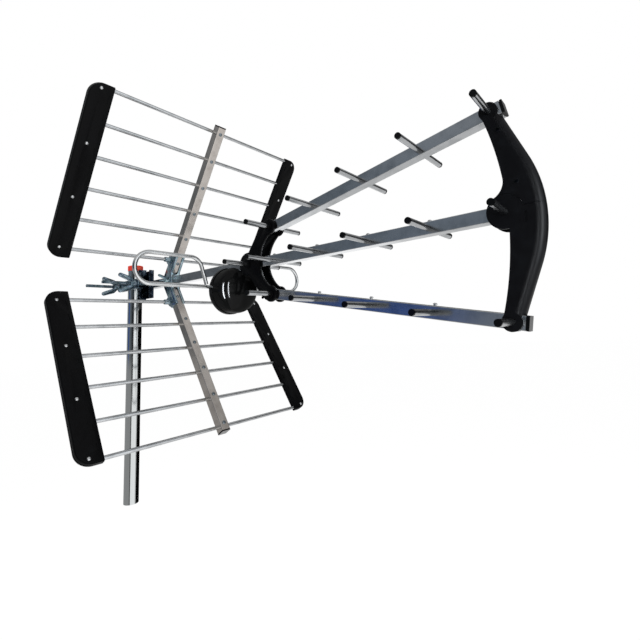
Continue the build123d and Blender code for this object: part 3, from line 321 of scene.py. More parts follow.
@dataclass(frozen=True)
class ZincPlate:
    """Zinc plate with a blue passivation on pressed steel: patchy blue-grey tones, a soft shine."""

    name: str = "blue_passivated_zinc"
    dark: str = "#6d8590"
    middle: str = "#93a7b0"
    light: str = "#bccad0"
    roughness: tuple[float, float] = (0.14, 0.3)
    grain_bump: float = 0.15

    def build(self) -> Material:
        """Builds the material.

        Returns:
            The material.
        """
        material, tree, shader, place = new_material(self.name)
        # Passivation patches about a centimetre across, and grains of a millimetre
        cloudy = {"Scale": 95.0, "Detail": 6.0, "Roughness": 0.62, "Distortion": 0.6}
        patch = add_node(tree, "ShaderNodeTexNoise", cloudy, {"Vector": place})
        grain = add_node(tree, "ShaderNodeTexVoronoi", {"Scale": 900.0}, {"Vector": place})
        tone = add_node(tree, "ShaderNodeValToRGB", links={0: patch.outputs["Fac"]})
        shades = zip((0.32, 0.5, 0.68), (self.dark, self.middle, self.light))
        set_ramp(tone, [(at, linear(shade)) for at, shade in shades])
        mixed = add_node(
            tree,
            "ShaderNodeMix",
            {"data_type": "RGBA", "blend_type": "OVERLAY", "Factor": 0.15},
            {6: tone.outputs["Color"], 7: grain.outputs["Color"]},
        )
        relief = (grain.outputs["Distance"], self.grain_bump, 0.2 * MM)
        shine = (patch.outputs["Fac"], *self.roughness)
        give_surface(tree, shader, mixed.outputs[2], shine, relief)
        shader.inputs["Metallic"].default_value = 1.0
        return material


@dataclass(frozen=True)
class MouldedPlastic:
    """Injection-moulded plastic with a fine mould grain, slightly dusty and scuffed."""

    name: str
    colour: str
    scuffed: str
    roughness: tuple[float, float]
    grain_mm: float = 0.9
    bump: float = 0.12
    specular: float = 0.4
    coat: float = 0.0
    coat_roughness: float = 0.13

    def build(self) -> Material:
        """Builds the material.

        Returns:
            The material.
        """
        material, tree, shader, place = new_material(self.name)
        moulded = {"Scale": 1.0 / (self.grain_mm * MM), "Detail": 2.0}
        grain = add_node(tree, "ShaderNodeTexNoise", moulded, {"Vector": place})
        # Scuffs about two centimetres across
        patchy = {"Scale": 55.0, "Detail": 7.0, "Roughness": 0.65}
        scuffs = add_node(tree, "ShaderNodeTexNoise", patchy, {"Vector": place}).outputs["Fac"]
        edges = {"From Min": 0.45, "From Max": 0.8}
        amount = add_node(tree, "ShaderNodeMapRange", edges, {"Value": scuffs})
        tones = {"data_type": "RGBA", 6: linear(self.colour), 7: linear(self.scuffed)}
        tone = add_node(tree, "ShaderNodeMix", tones, {"Factor": amount.outputs[0]})
        relief = (grain.outputs["Fac"], self.bump, 0.2 * MM)
        shine = (scuffs, *self.roughness)
        give_surface(tree, shader, tone.outputs[2], shine, relief, span=(0.3, 0.7))
        shader.inputs["Specular IOR Level"].default_value = self.specular
        shader.inputs["Coat Weight"].default_value = self.coat
        shader.inputs["Coat Roughness"].default_value = self.coat_roughness
        return material


@dataclass
class Finishes:
    """Every finish of the antenna, by the slot or piece that wears it."""

    # Millimetres to a plug or cap: from an outer boom's rear end, up a panel, along a director
    outer_plug_reach: float = 468.0
    panel_plug_reach: float = 419.0
    director_cap_reach: float = 72.0
    spine_tones: tuple[str, str] = ("#cdc7c1", "#b5aea8")

    def build(self) -> dict[str, Material]:
        """Builds the materials.

        Returns:
            Each material by a plain key.
        """
        rear = OUTER_RUN * math.cos(TILT) + OUTER_RISE * math.sin(TILT)
        outer = {
            "plug_way": (math.cos(TILT), 0.0, math.sin(TILT)),
            "plug_from": (rear + self.outer_plug_reach) * MM,
        }
        panel = {
            "plug_way": (math.sin(PANEL), 0.0, math.cos(PANEL)),
            "plug_from": self.panel_plug_reach * MM,
        }
        looks = {
            "mast": DrawnTube(),
            "cap": MouldedPlastic(
                "red_polyethylene_cap", "#d8301c", "#e86a4e", (0.28, 0.42),
                grain_mm=1.2, bump=0.08, specular=0.5,
            ),
            "zinc": ZincPlate(),
            # The clamp's zinc is the same plate as the bracket's in darker tones: painted shade.
            "clamp": ZincPlate("blue_passivated_clamp_zinc", "#46555f", "#6b7d88", "#a9b8c0"),
            # The main jaw is the same zinc plate in near-black, navy tones: painted shade and
            # painted reflection.
            "jaw": ZincPlate("dark_blue_passivated_jaw", "#161c28", "#2c3644", "#7c8a95"),
            "main_boom": RolledAluminium("mill_aluminium_main_boom", Grain.ALONG_X),
            "top_boom": RolledAluminium(
                "mill_aluminium_top_boom", Grain.ALONG_X, turn=TILT, **outer
            ),
            "bottom_boom": RolledAluminium(
                "mill_aluminium_bottom_boom", Grain.ALONG_X, turn=-TILT, **outer
            ),
            "upper_spine": RolledAluminium(
                "mill_aluminium_upper_spine", Grain.ALONG_Z, *self.spine_tones, -PANEL, **panel
            ),
            "lower_spine": RolledAluminium(
                "mill_aluminium_lower_spine", Grain.ALONG_Z, *self.spine_tones, PANEL, **panel
            ),
            "director": RolledAluminium(
                "bright_aluminium_director", Grain.ALONG_Y, roughness=(0.16, 0.26), line_bump=0.01,
                plug_way=(0.0, 1.0, 0.0), plug_from=self.director_cap_reach * MM,
            ),
            "rod": RolledAluminium(
                "bright_aluminium_rod", Grain.ALONG_Y, roughness=(0.14, 0.24), line_bump=0.01
            ),
            "dipole": RolledAluminium(
                "bright_aluminium_dipole", Grain.ALONG_Y, "#d2d4d5", "#bfc1c2", line_bump=0.01
            ),
            "plate": MouldedPlastic(
                "black_abs_end_plate", BLACK, "#07080a", (0.36, 0.48), bump=0.2, specular=0.09
            ),
            "bow": MouldedPlastic(
                "black_abs_bow", BLACK, "#050608", (0.36, 0.44), bump=0.04, specular=0.08
            ),
            "cover": MouldedPlastic(
                "gloss_black_cover", "#010101", "#020202", (0.3, 0.4),
                grain_mm=2.0, bump=0.01, specular=0.0, coat=0.2,
            ),
            "base": MouldedPlastic(
                "black_abs_box_base", BLACK, "#101216", (0.36, 0.46), bump=0.15, specular=0.2
            ),
            "board": MouldedPlastic(
                "green_epoxy_board", "#1f5a35", "#2a6c42", (0.3, 0.4),
                grain_mm=1.5, bump=0.05, specular=0.5,
            ),
            "nickel": RolledAluminium(
                "nickel_plated_brass", Grain.ALONG_X, "#c4c1b8", "#b3b0a6", roughness=(0.16, 0.24)
            ),
            "rivet": RolledAluminium(
                "bright_aluminium_rivet", Grain.ALONG_Z, "#d0d2d3", "#c0c2c4",
                roughness=(0.22, 0.34),
            ),
            "spine_screw": RolledAluminium(
                "dull_zinc_spine_screw", Grain.ALONG_Z, "#8c959b", "#757e85",
                roughness=(0.25, 0.36),
            ),
            "dark_screw": ZincPlate("black_oxide_screw", "#0c0d0f", "#17191c", "#2a2d31"),
        }
        return {key: look.build() for key, look in looks.items()}


NODE_FINISH = {
    "mast_tube": "mast",
    "mast_cap": "cap",
    # The clamp and its main jaw take darker copies of the zinc plate: painted shade, and on the jaw
    # painted reflection too.
    "clamp_": "clamp",
    "clamp_main_jaw": "jaw",
    "bracket_": "zinc",
    "reflector_bracket": "zinc",
    "main_director": "director",
    "top_director": "director",
    "bottom_director": "director",
    "upper_reflector": "rod",
    "lower_reflector": "rod",
    "spine_screws": "spine_screw",
    "end_plate": "plate",
    "blind_rivets": "rivet",
    "dipole_loop": "dipole",
    "dipole_box_base": "base",
    "dipole_box_cover": "cover",
    "balun_board": "board",
    "terminal_screws": "nickel",
    "coax_socket": "nickel",
    "rear_bow": "bow",
    "front_bow": "bow",
    "bow_screws": "dark_screw",
}


def finish_of(node: str) -> str:
    """The finish key of a CAD node: its longest matching start in the table, or its own name."""
    starts = [start for start in NODE_FINISH if node.startswith(start)]
    return NODE_FINISH[max(starts, key=len)] if starts else node


def wear(piece: Object, material: Material) -> None:
    """Puts one material on every slot of a piece.

    Args:
        piece: the mesh object.
        material: the finish.
    """
    if not piece.material_slots:
        piece.data.materials.append(material)
    for slot in piece.material_slots:
        slot.material = material


@dataclass
class Camera:
    """The photograph's camera, solved from the rods and booms of known pitch."""

    place: Triple = (1.094913, -0.544798, -0.143132)
    yaw: float = math.radians(37.226)
    pitch: float = math.radians(8.454)
    roll: float = math.radians(-3.044)
    focal_px: float = 408.578
    middle_px: tuple[float, float] = (335.0, 267.961)
    frame_px: float = 640.0

    def build(self) -> None:
        """Adds the camera and makes it the scene's."""
        level = Vector((-math.sin(self.yaw), math.cos(self.yaw), 0.0))
        right = Vector((math.cos(self.yaw), math.sin(self.yaw), 0.0))
        up = Vector((0.0, 0.0, 1.0))
        ahead = level * math.cos(self.pitch) + up * math.sin(self.pitch)
        tipped = up * math.cos(self.pitch) - level * math.sin(self.pitch)
        turned_right = right * math.cos(self.roll) + tipped * math.sin(self.roll)
        turned_up = tipped * math.cos(self.roll) - right * math.sin(self.roll)
        data = bpy.data.cameras.new("camera")
        data.sensor_fit = "HORIZONTAL"
        data.sensor_width = 36.0
        data.lens = self.focal_px / self.frame_px * data.sensor_width
        data.shift_x = (self.frame_px / 2 - self.middle_px[0]) / self.frame_px
        data.shift_y = (self.middle_px[1] - self.frame_px / 2) / self.frame_px
        data.clip_start = 0.01
        camera = bpy.data.objects.new("camera", data)
        bpy.context.scene.collection.objects.link(camera)
        axes = Matrix((turned_right, turned_up, -ahead)).transposed().to_4x4()
        camera.matrix_world = Matrix.Translation(self.place) @ axes
        bpy.context.scene.camera = camera


@dataclass(frozen=True)
class Lamp:
    """A square soft lamp, or a tall strip that lights one CAD node alone and is mirrored by it."""

    name: str
    place: Triple
    size: float
    watts: float
    strip: float = 0.0
    node: str = ""
    target: Triple = (0.4, 0.0, 0.0)
    strip_colour: Triple = (0.9, 0.95, 1.0)

    def build(self) -> None:
        """Hangs the lamp, turned to the antenna's middle."""
        data = bpy.data.lights.new(self.name, "AREA")
        data.size = self.size
        data.energy = self.watts
        if self.strip:
            data.shape = "RECTANGLE"
            data.size_y = self.strip
            data.color = self.strip_colour
        lamp = bpy.data.objects.new(self.name, data)
        bpy.context.scene.collection.objects.link(lamp)
        turn = (Vector(self.target) - Vector(self.place)).to_track_quat("-Z", "Y")
        lamp.matrix_world = Matrix.Translation(self.place) @ turn.to_matrix().to_4x4()
        lamp.visible_camera = False
        lamp.visible_glossy = self.strip > 0

    def pick_out(self) -> None:
        """Limits a strip to the meshes of its node, when all the pieces are there."""
        if not self.node:
            return
        lit = bpy.data.collections.new(f"{self.name}_lit")
        for piece in bpy.data.objects:
            if piece.type == "MESH" and piece.name.startswith(self.node):
                lit.objects.link(piece)
        bpy.data.objects[self.name].light_linking.receiver_collection = lit


@dataclass
class Studio:
    """Pale floor well below the mast's foot, soft lamps at a plain level and a white background."""

    floor_z: float = -1.7
    floor_size: float = 60.0
    floor_glow: float = 0.88
    fill: float = 0.62
    white: float = 1.06
    # What shiny pieces see of the floor and the walls, by the heading in degrees about the mast
    floor_gleam: Pairs = (
        (-180, 0.34), (-62, 0.32), (-57, 0.02), (-47, 0.02), (-41, 1.3), (26, 1.3),
        (36, 0.75), (108, 0.75), (118, 1.35), (146, 1.35), (156, 0.42), (180, 0.42),
    )
    ceiling: Triple = (0.6, 0.6, 0.6)
    walls: tuple[tuple[float, Triple], ...] = (
        (-180, (0.42, 0.45, 0.46)),
        (-156, (0.42, 0.45, 0.46)),
        (-149, (0.13, 0.14, 0.15)),
        (-125, (0.15, 0.18, 0.215)),
        (-112, (0.2, 0.235, 0.28)),
        (-92, (0.12, 0.14, 0.16)),
        (-62, (0.05, 0.055, 0.06)),
        (-56, (0.015, 0.015, 0.018)),
        (-40, (0.015, 0.015, 0.018)),
        (-32, (1.3, 1.3, 1.3)),
        (26, (1.3, 1.35, 1.4)),
        (36, (0.03, 0.03, 0.03)),
        (150, (0.03, 0.03, 0.03)),
        (160, (0.42, 0.45, 0.46)),
        (180, (0.42, 0.45, 0.46)),
    )
    # The sines of the heights over which the walls turn to ceiling
    ceiling_rise: tuple[float, float] = (0.35, 0.75)
    # A navy patch low on one wall: its middle, how near a direction has to be to it, and how it
    # fades with height
    skirting_way: Triple = (-0.53, -0.847, 0.04)
    skirting_aim: tuple[float, float] = (0.965, 0.995)
    skirting: Triple = (0.025, 0.08, 0.3)
    skirting_rise: Pairs = ((0.0, 1.0), (0.075, 1.0), (0.12, 0.0))
    flag_size: Triple = (0.16, 0.58, 1.0)
    flag_place: Triple = (0.0, 0.06, -0.35)
    lamps: tuple[Lamp, ...] = (
        Lamp("key", (-0.9, -1.9, 1.5), 1.6, 30.0),
        Lamp("front", (2.6, -1.4, 1.1), 1.8, 26.0),
        Lamp("top", (0.4, 0.6, 2.4), 2.0, 22.0),
        Lamp("back", (-1.6, 1.9, 1.0), 1.8, 20.0),
        Lamp("low", (0.9, -0.9, -1.5), 1.4, 9.0),
        Lamp("bow_near_strip", (1.91, -1.89, -0.25), 0.26, 50.0, 2.2, "front_bow"),
        Lamp("bow_far_strip", (2.67, -0.55, 0.1), 0.5, 60.0, 1.3, "front_bow"),
        Lamp("cover_near_strip", (1.0, -2.45, -0.6), 0.4, 1150.0, 4.6, "dipole_box_cover"),
        Lamp("cover_far_strip", (2.5, -1.0, 0.0), 0.26, 240.0, 2.4, "dipole_box_cover"),
        Lamp("rear_bow_strip", (0.9, 2.3, 0.3), 0.9, 130.0, 2.4, "rear_bow"),
    )

    def build(self) -> None:
        """Adds floor, flag, world and lamps."""
        self.build_floor()
        self.build_flag()
        self.build_world()
        for lamp in self.lamps:
            lamp.build()

    def build_floor(self) -> None:
        """Adds the pale floor, which keeps the antenna's shadow."""
        deselect()
        bpy.ops.mesh.primitive_plane_add(size=self.floor_size, location=(0.0, 0.0, self.floor_z))
        floor = bpy.context.object
        floor.name = "floor"
        material = bpy.data.materials.new("pale_floor")
        tree = empty_tree(material)
        output = add_node(tree, "ShaderNodeOutputMaterial")
        paint = add_node(tree, "ShaderNodeBsdfDiffuse", {"Color": linear("#ececec")})
        seen, mirrored = self.seen_rays(tree)
        place = add_node(tree, "ShaderNodeTexCoord").outputs["Object"]
        gleam = add_node(tree, "ShaderNodeValToRGB", links={0: self.heading(tree, place)})
        stops = self.floor_gleam
        set_ramp(gleam, [((at + 180) / 360, (level, level, level, 1.0)) for at, level in stops])
        sight = {"Value": mirrored, "To Max": gleam.outputs["Color"]}
        strength = add_node(tree, "ShaderNodeMapRange", {"To Min": self.white}, sight)
        glow = add_node(tree, "ShaderNodeEmission", links={"Strength": strength.outputs[0]})
        share = {"operation": "MULTIPLY", 1: self.floor_glow}
        part = add_node(tree, "ShaderNodeMath", share, {0: seen})
        ends = {0: part.outputs[0], 1: paint.outputs[0], 2: glow.outputs[0]}
        mixed = add_node(tree, "ShaderNodeMixShader", links=ends)
        tree.links.new(mixed.outputs[0], output.inputs["Surface"])
        wear(floor, material)

    def seen_rays(self, tree: NodeTree) -> tuple[NodeSocket, NodeSocket]:
        """Tells which rays see the studio itself and not its fill light.

        Args:
            tree: the node tree that asks.

        Returns:
            A factor of one for straight, mirrored and transmitted rays, and one for mirrored rays.
        """
        path = add_node(tree, "ShaderNodeLightPath")
        seen = path.outputs["Is Camera Ray"]
        for kind in ("Is Glossy Ray", "Is Transmission Ray"):
            either = {0: seen, 1: path.outputs[kind]}
            seen = add_node(tree, "ShaderNodeMath", {"operation": "MAXIMUM"}, either).outputs[0]
        return seen, path.outputs["Is Glossy Ray"]

    def heading(self, tree: NodeTree, way: NodeSocket) -> NodeSocket:
        """Adds nodes that turn a direction into its share of a full turn about the mast.

        Args:
            tree: the node tree that asks.
            way: the direction.

        Returns:
            A value from zero at the back over the near side to one at the back again.
        """
        parts = add_node(tree, "ShaderNodeSeparateXYZ", links={0: way})
        sides = {0: parts.outputs["Y"], 1: parts.outputs["X"]}
        angle = add_node(tree, "ShaderNodeMath", {"operation": "ARCTAN2"}, sides)
        full = {"From Min": -math.pi, "From Max": math.pi}
        return add_node(tree, "ShaderNodeMapRange", full, {"Value": angle.outputs[0]}).outputs[0]

    def link_strips(self) -> None:
        """Limits each strip lamp to its own piece."""
        for lamp in self.lamps:
            lamp.pick_out()

    def build_flag(self) -> None:
        """Adds the black flag beside the mast that only polished metal sees, for its dark band."""
        deselect()
        bpy.ops.mesh.primitive_plane_add(size=1.0, rotation=(math.radians(90.0), 0.0, 0.0))
        card = bpy.context.object
        card.name = "flag"
        card.scale = self.flag_size
        card.location = self.flag_place
        card.visible_camera = False
        card.visible_diffuse = False
        card.visible_shadow = False
        card.visible_transmission = False
        material = bpy.data.materials.new("black_flag")
        tree = empty_tree(material)
        output = add_node(tree, "ShaderNodeOutputMaterial")
        cloth = add_node(tree, "ShaderNodeBsdfDiffuse", {"Color": linear("#050505")})
        tree.links.new(cloth.outputs[0], output.inputs["Surface"])
        wear(card, material)

    def build_world(self) -> None:
        """A white background; mirrored rays see the walls, the ceiling and a dark blue skirting."""
        world = bpy.data.worlds.new("studio")
        bpy.context.scene.world = world
        tree = empty_tree(world)
        output = add_node(tree, "ShaderNodeOutputWorld")
        seen, mirrored = self.seen_rays(tree)
        way = add_node(tree, "ShaderNodeTexCoord").outputs["Generated"]
        height = add_node(tree, "ShaderNodeSeparateXYZ", links={0: way})
        walls = add_node(tree, "ShaderNodeValToRGB", links={0: self.heading(tree, way)})
        set_ramp(walls, [((at + 180) / 360, (*colour, 1.0)) for at, colour in self.walls])
        low, high = self.ceiling_rise
        edges = {"From Min": low, "From Max": high}
        rise = add_node(tree, "ShaderNodeMapRange", edges, {"Value": height.outputs["Z"]})
        roofed = add_node(
            tree,
            "ShaderNodeMix",
            {"data_type": "RGBA", 7: (*self.ceiling, 1.0)},
            {"Factor": rise.outputs[0], 6: walls.outputs["Color"]},
        )
        band = add_node(tree, "ShaderNodeValToRGB", links={0: height.outputs["Z"]})
        set_ramp(band, [(at, (share, share, share, 1.0)) for at, share in self.skirting_rise])
        toward = {"operation": "DOT_PRODUCT", 1: self.skirting_way}
        near = add_node(tree, "ShaderNodeVectorMath", toward, {0: way})
        low, high = self.skirting_aim
        edges = {"From Min": low, "From Max": high}
        aim = add_node(tree, "ShaderNodeMapRange", edges, {"Value": near.outputs["Value"]})
        both = {0: band.outputs[0], 1: aim.outputs[0]}
        patch = add_node(tree, "ShaderNodeMath", {"operation": "MULTIPLY"}, both)
        room = add_node(
            tree,
            "ShaderNodeMix",
            {"data_type": "RGBA", 7: (*self.skirting, 1.0)},
            {"Factor": patch.outputs[0], 6: roofed.outputs[2]},
        )
        shown = add_node(
            tree,
            "ShaderNodeMix",
            {"data_type": "RGBA", 6: WHITE},
            {"Factor": mirrored, 7: room.outputs[2]},
        )
        sight = add_node(tree, "ShaderNodeBackground", links={"Color": shown.outputs[2]})
        fill = add_node(tree, "ShaderNodeBackground", {"Color": WHITE, "Strength": self.fill})
        ends = {0: seen, 1: fill.outputs[0], 2: sight.outputs[0]}
        mixed = add_node(tree, "ShaderNodeMixShader", links=ends)
        tree.links.new(mixed.outputs[0], output.inputs["Surface"])


def deselect() -> None:
    """Leaves edit mode and selects nothing."""
    if bpy.context.object and bpy.context.object.mode != "OBJECT":
        bpy.ops.object.mode_set(mode="OBJECT")
    bpy.ops.object.select_all(action="DESELECT")


def dress_nodes(finishes: dict[str, Material]) -> None:
    """Gives every CAD node its finish.

    Args:
        finishes: the materials by key.
    """
    for name, node in frame["nodes"].items():
        wear(node, finishes[finish_of(name)])


def settle(piece: Object, node: str, finishes: dict[str, Material]) -> None:
    """Dresses a finished piece, lets it stand for its CAD node and reports it.

    Args:
        piece: the finished piece, at the origin.
        node: the CAD node that it stands for.
        finishes: the materials by key.
    """
    wear(piece, finishes[finish_of(node)])
    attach(piece, "root")
    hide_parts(node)
    log.info("%s: %d faces", piece.name, len(piece.data.polygons))


def take_up(*pieces: Object) -> None:
    """Selects these pieces alone, the first one active.

    Args:
        pieces: the objects.
    """
    deselect()
    for piece in pieces:
        piece.select_set(True)
    bpy.context.view_layer.objects.active = pieces[0]


def soften(piece: Object, edge: float, sharp: float, steps: int) -> None:
    """Rounds a piece's sharp edges and shades it by angle.

    Args:
        piece: the mesh object.
        edge: the width of the round in metres, or zero to smooth the shading alone.
        sharp: edges that turn more than this angle are rounded.
        steps: how many strips make the round.
    """
    take_up(piece)
    if edge:
        bevel = piece.modifiers.new("edge_round", "BEVEL")
        bevel.limit_method = "ANGLE"
        bevel.angle_limit = sharp
        bevel.width = edge
        bevel.segments = steps
        bevel.harden_normals = False
        bpy.ops.object.modifier_apply(modifier=bevel.name)
    bpy.ops.object.shade_smooth_by_angle(angle=sharp)


def pick_faces(piece: Object, test: Callable[[MeshPolygon], bool]) -> None:
    """Selects the faces that pass a test and stays in edit mode.

    Args:
        piece: the mesh object.
        test: says which faces are picked.
    """
    take_up(piece)
    bpy.ops.object.mode_set(mode="EDIT")
    bpy.context.tool_settings.mesh_select_mode = (False, False, True)
    bpy.ops.mesh.select_all(action="DESELECT")
    bpy.ops.object.mode_set(mode="OBJECT")
    for face in piece.data.polygons:
        face.select = test(face)
    bpy.ops.object.mode_set(mode="EDIT")


def top_face(piece: Object) -> Callable[[MeshPolygon], bool]:
    """A test that finds a piece's highest flat face."""
    top = max(face.center.z for face in piece.data.polygons)
    return lambda face: face.center.z > top - 1e-6 and face.normal.z > 0.9


def turned_bar(radius: float, low: float, high: float, sides: int, turn: float = 0.0) -> Object:
    """A bar on the Z axis from a cylinder.

    Args:
        radius: its radius, to the corners where it has few sides.
        low: height of its lower end.
        high: height of its upper end.
        sides: how many sides.
        turn: its turn about Z.

    Returns:
        The bar.
    """
    deselect()
    bpy.ops.mesh.primitive_cylinder_add(
        vertices=sides,
        radius=radius,
        depth=high - low,
        location=(0.0, 0.0, (high + low) / 2),
        rotation=(0.0, 0.0, turn),
    )
    bar = bpy.context.object
    bpy.ops.object.transform_apply(location=True, rotation=True, scale=True)
    return bar


def joined(*pieces: Object) -> Object:
    """Joins pieces to the first of them.

    Args:
        pieces: the objects.

    Returns:
        The first, which now holds all.
    """
    take_up(*pieces)
    bpy.ops.object.join()
    return pieces[0]


def thread(radius: float, pitch: float, low: float, high: float) -> Object:
    """A sixty degree thread on the Z axis: one tooth screwed round and up.

    Args:
        radius: to the thread's crest.
        pitch: rise of one turn.
        low: height of its start.
        high: height of its end.

    Returns:
        The thread, without its core.
    """
    tooth = pitch / math.sqrt(3)
    deselect()
    bpy.ops.mesh.primitive_circle_add(
        vertices=3,
        radius=tooth,
        location=(radius - tooth, 0.0, low + pitch / 2),
        rotation=(math.pi / 2, math.pi / 2, 0.0),
    )
    coil = bpy.context.object
    bpy.ops.object.transform_apply(location=True, rotation=True, scale=True)
    screw = coil.modifiers.new("turns", "SCREW")
    screw.axis = "Z"
    screw.angle = 2 * math.pi
    screw.screw_offset = pitch
    screw.iterations = int((high - low - pitch) / pitch)
    screw.steps = TURN_STEPS
    screw.render_steps = TURN_STEPS
    bpy.ops.object.modifier_apply(modifier=screw.name)
    bpy.ops.object.mode_set(mode="EDIT")
    bpy.ops.mesh.select_all(action="SELECT")
    bpy.ops.mesh.normals_make_consistent(inside=False)
    bpy.ops.object.mode_set(mode="OBJECT")
    return coil


def set_down(master: Object, seats: list[Seat], name: str) -> Object:
    """Copies a fastener onto each seat, each with its own mesh, and joins the copies.

    Args:
        master: the fastener, its seat at the origin and its head up.
        seats: the place and the outward way of each seat.
        name: the joined piece's name.

    Returns:
        The joined piece, at the origin.
    """
    copies = []
    for place, way in seats:
        copy = master.copy()
        copy.data = master.data.copy()
        bpy.context.scene.collection.objects.link(copy)
        turn = way.to_track_quat("Z", "Y").to_matrix().to_4x4()
        copy.matrix_world = Matrix.Translation(place) @ turn
        copies.append(copy)
    bpy.data.objects.remove(master, do_unlink=True)
    piece = joined(*copies)
    bpy.ops.object.transform_apply(location=True, rotation=True, scale=True)
    piece.name = name
    return piece


@dataclass
class SoftShell:
    """A moulded, pressed or cut CAD piece, copied and given the small edge rounds of its making."""

    node: str
    edge: float
    sharp: float = math.radians(32.0)
    steps: int = 2
    weld: float = 0.002 * MM
    flat: float = math.radians(0.6)

    def build(self, finishes: dict[str, Material]) -> None:
        """Copies, cleans and rounds the piece.

        Args:
            finishes: the materials by key.
        """
        source = frame["nodes"][self.node]
        piece = source.copy()
        piece.data = source.data.copy()
        piece.name = f"{self.node}_softened"
        bpy.context.scene.collection.objects.link(piece)
        place = source.matrix_world.copy()
        piece.parent = None
        piece.matrix_world = place
        take_up(piece)
        bpy.ops.object.transform_apply(location=True, rotation=True, scale=True)
        bpy.ops.mesh.customdata_custom_splitnormals_clear()
        bpy.ops.object.mode_set(mode="EDIT")
        bpy.ops.mesh.select_all(action="SELECT")
        bpy.ops.mesh.remove_doubles(threshold=self.weld)
        if self.edge:
            bpy.ops.mesh.dissolve_limited(angle_limit=self.flat)
        bpy.ops.mesh.normals_make_consistent(inside=False)
        bpy.ops.object.mode_set(mode="OBJECT")
        soften(piece, self.edge, self.sharp, self.steps)
        settle(piece, self.node, finishes)


@dataclass
class BlindRivets:
    """Domed blind rivets with the pit where the mandrel broke off."""

    head_radius: float = 3.4 * MM
    head_height: float = 2.2 * MM
    shank_radius: float = 2.0 * MM
    neck_radius: float = 2.5 * MM
    neck: float = 2.0 * MM
    grip: float = 5.0 * MM
    # Shares of the head's height and radius: its rim, then each inset's width and rise up the
    # dome and down into the pit
    rim: float = 0.3
    insets: Pairs = ((0.16, 0.3), (0.18, 0.25), (0.2, 0.15), (0.12, 0.0), (0.04, -0.45))
    sharp: float = math.radians(50.0)
    plate_way: float = 262.0 * MM
    plate_front: float = 6.6 * MM
    boom_top: float = 12.1 * MM
    # Millimetres: up a panel, along an outer boom, and along the main boom from the mast
    plate_places: tuple[float, ...] = (69.0, 179.0, 291.0, 401.0)
    outer_places: tuple[float, ...] = (113.0, 226.0, 339.0)
    main_places: tuple[float, ...] = (439.0, 505.0, 618.0, 731.0, 844.0)

    def head(self, neck: float) -> Object:
        """Makes one rivet.

        Args:
            neck: height of the neck under the head.

        Returns:
            The rivet, its head's seat at the origin.
        """
        dome = turned_bar(self.head_radius, 0.0, self.rim * self.head_height, sides=28)
        pick_faces(dome, top_face(dome))
        for share, rise in self.insets:
            bpy.ops.mesh.inset(thickness=share * self.head_radius, depth=rise * self.head_height)
        bpy.ops.object.mode_set(mode="OBJECT")
        take_up(dome)
        bpy.ops.object.shade_smooth_by_angle(angle=self.sharp)
        shank = turned_bar(self.shank_radius, -self.grip - neck, 0.0, sides=20)
        if not neck:
            return joined(dome, shank)
        return joined(dome, shank, turned_bar(self.neck_radius, -neck, 0.0, sides=24))

    def plate_seats(self) -> list[Seat]:
        """Finds the seats on the four end plates.

        Returns:
            The seats.
        """
        seats = []
        for half in Half:
            for reach in self.plate_places:
                for side in (1, -1):
                    place, way = panel_seat(reach * MM, self.plate_front, half)
                    seats.append((place + Vector((0.0, side * self.plate_way, 0.0)), way))
        return seats

    def boom_seats(self) -> list[Seat]:
        """Finds the seats on the three booms, all on the upper faces.

        Returns:
            The seats.
        """
        up = Vector((0, 0, 1))
        seats = [(Vector((x * MM, BOOM_Y, self.boom_top)), up) for x in self.main_places]
        for half in Half:
            rise = self.boom_top * half.value
            for reach in self.outer_places:
                x = OUTER_REAR.x + reach * MM * math.cos(TILT) - rise * math.sin(TILT)
                z = OUTER_REAR.z + reach * MM * math.sin(TILT) + rise * math.cos(TILT)
                way = Vector((-half.value * math.sin(TILT), 0.0, math.cos(TILT)))
                seats.append((Vector((x, BOOM_Y, half.value * z)), way))
        return seats

    def build(self, finishes: dict[str, Material]) -> None:
        """Makes and sets all rivets.

        Args:
            finishes: the materials by key.
        """
        plain = set_down(self.head(0.0), self.plate_seats(), "plate_rivets")
        necked = set_down(self.head(self.neck), self.boom_seats(), "boom_rivets")
        piece = joined(plain, necked)
        piece.name = "blind_rivets_domed"
        settle(piece, "blind_rivets", finishes)


def panel_seat(reach: float, front: float, half: Half) -> Seat:
    """The seat on a reflector panel's middle line and the way it faces.

    Args:
        reach: distance up the panel from the crossing.
        front: distance in front of the rods' plane.
        half: the upper or the lower panel.

    Returns:
        The place and the way.
    """
    x = CROSSING.x + reach * math.sin(PANEL) + front * math.cos(PANEL)
    z = reach * math.cos(PANEL) - front * math.sin(PANEL)
    way = Vector((math.cos(PANEL), 0.0, -half.value * math.sin(PANEL)))
    return Vector((x, BOOM_Y, half.value * z)), way


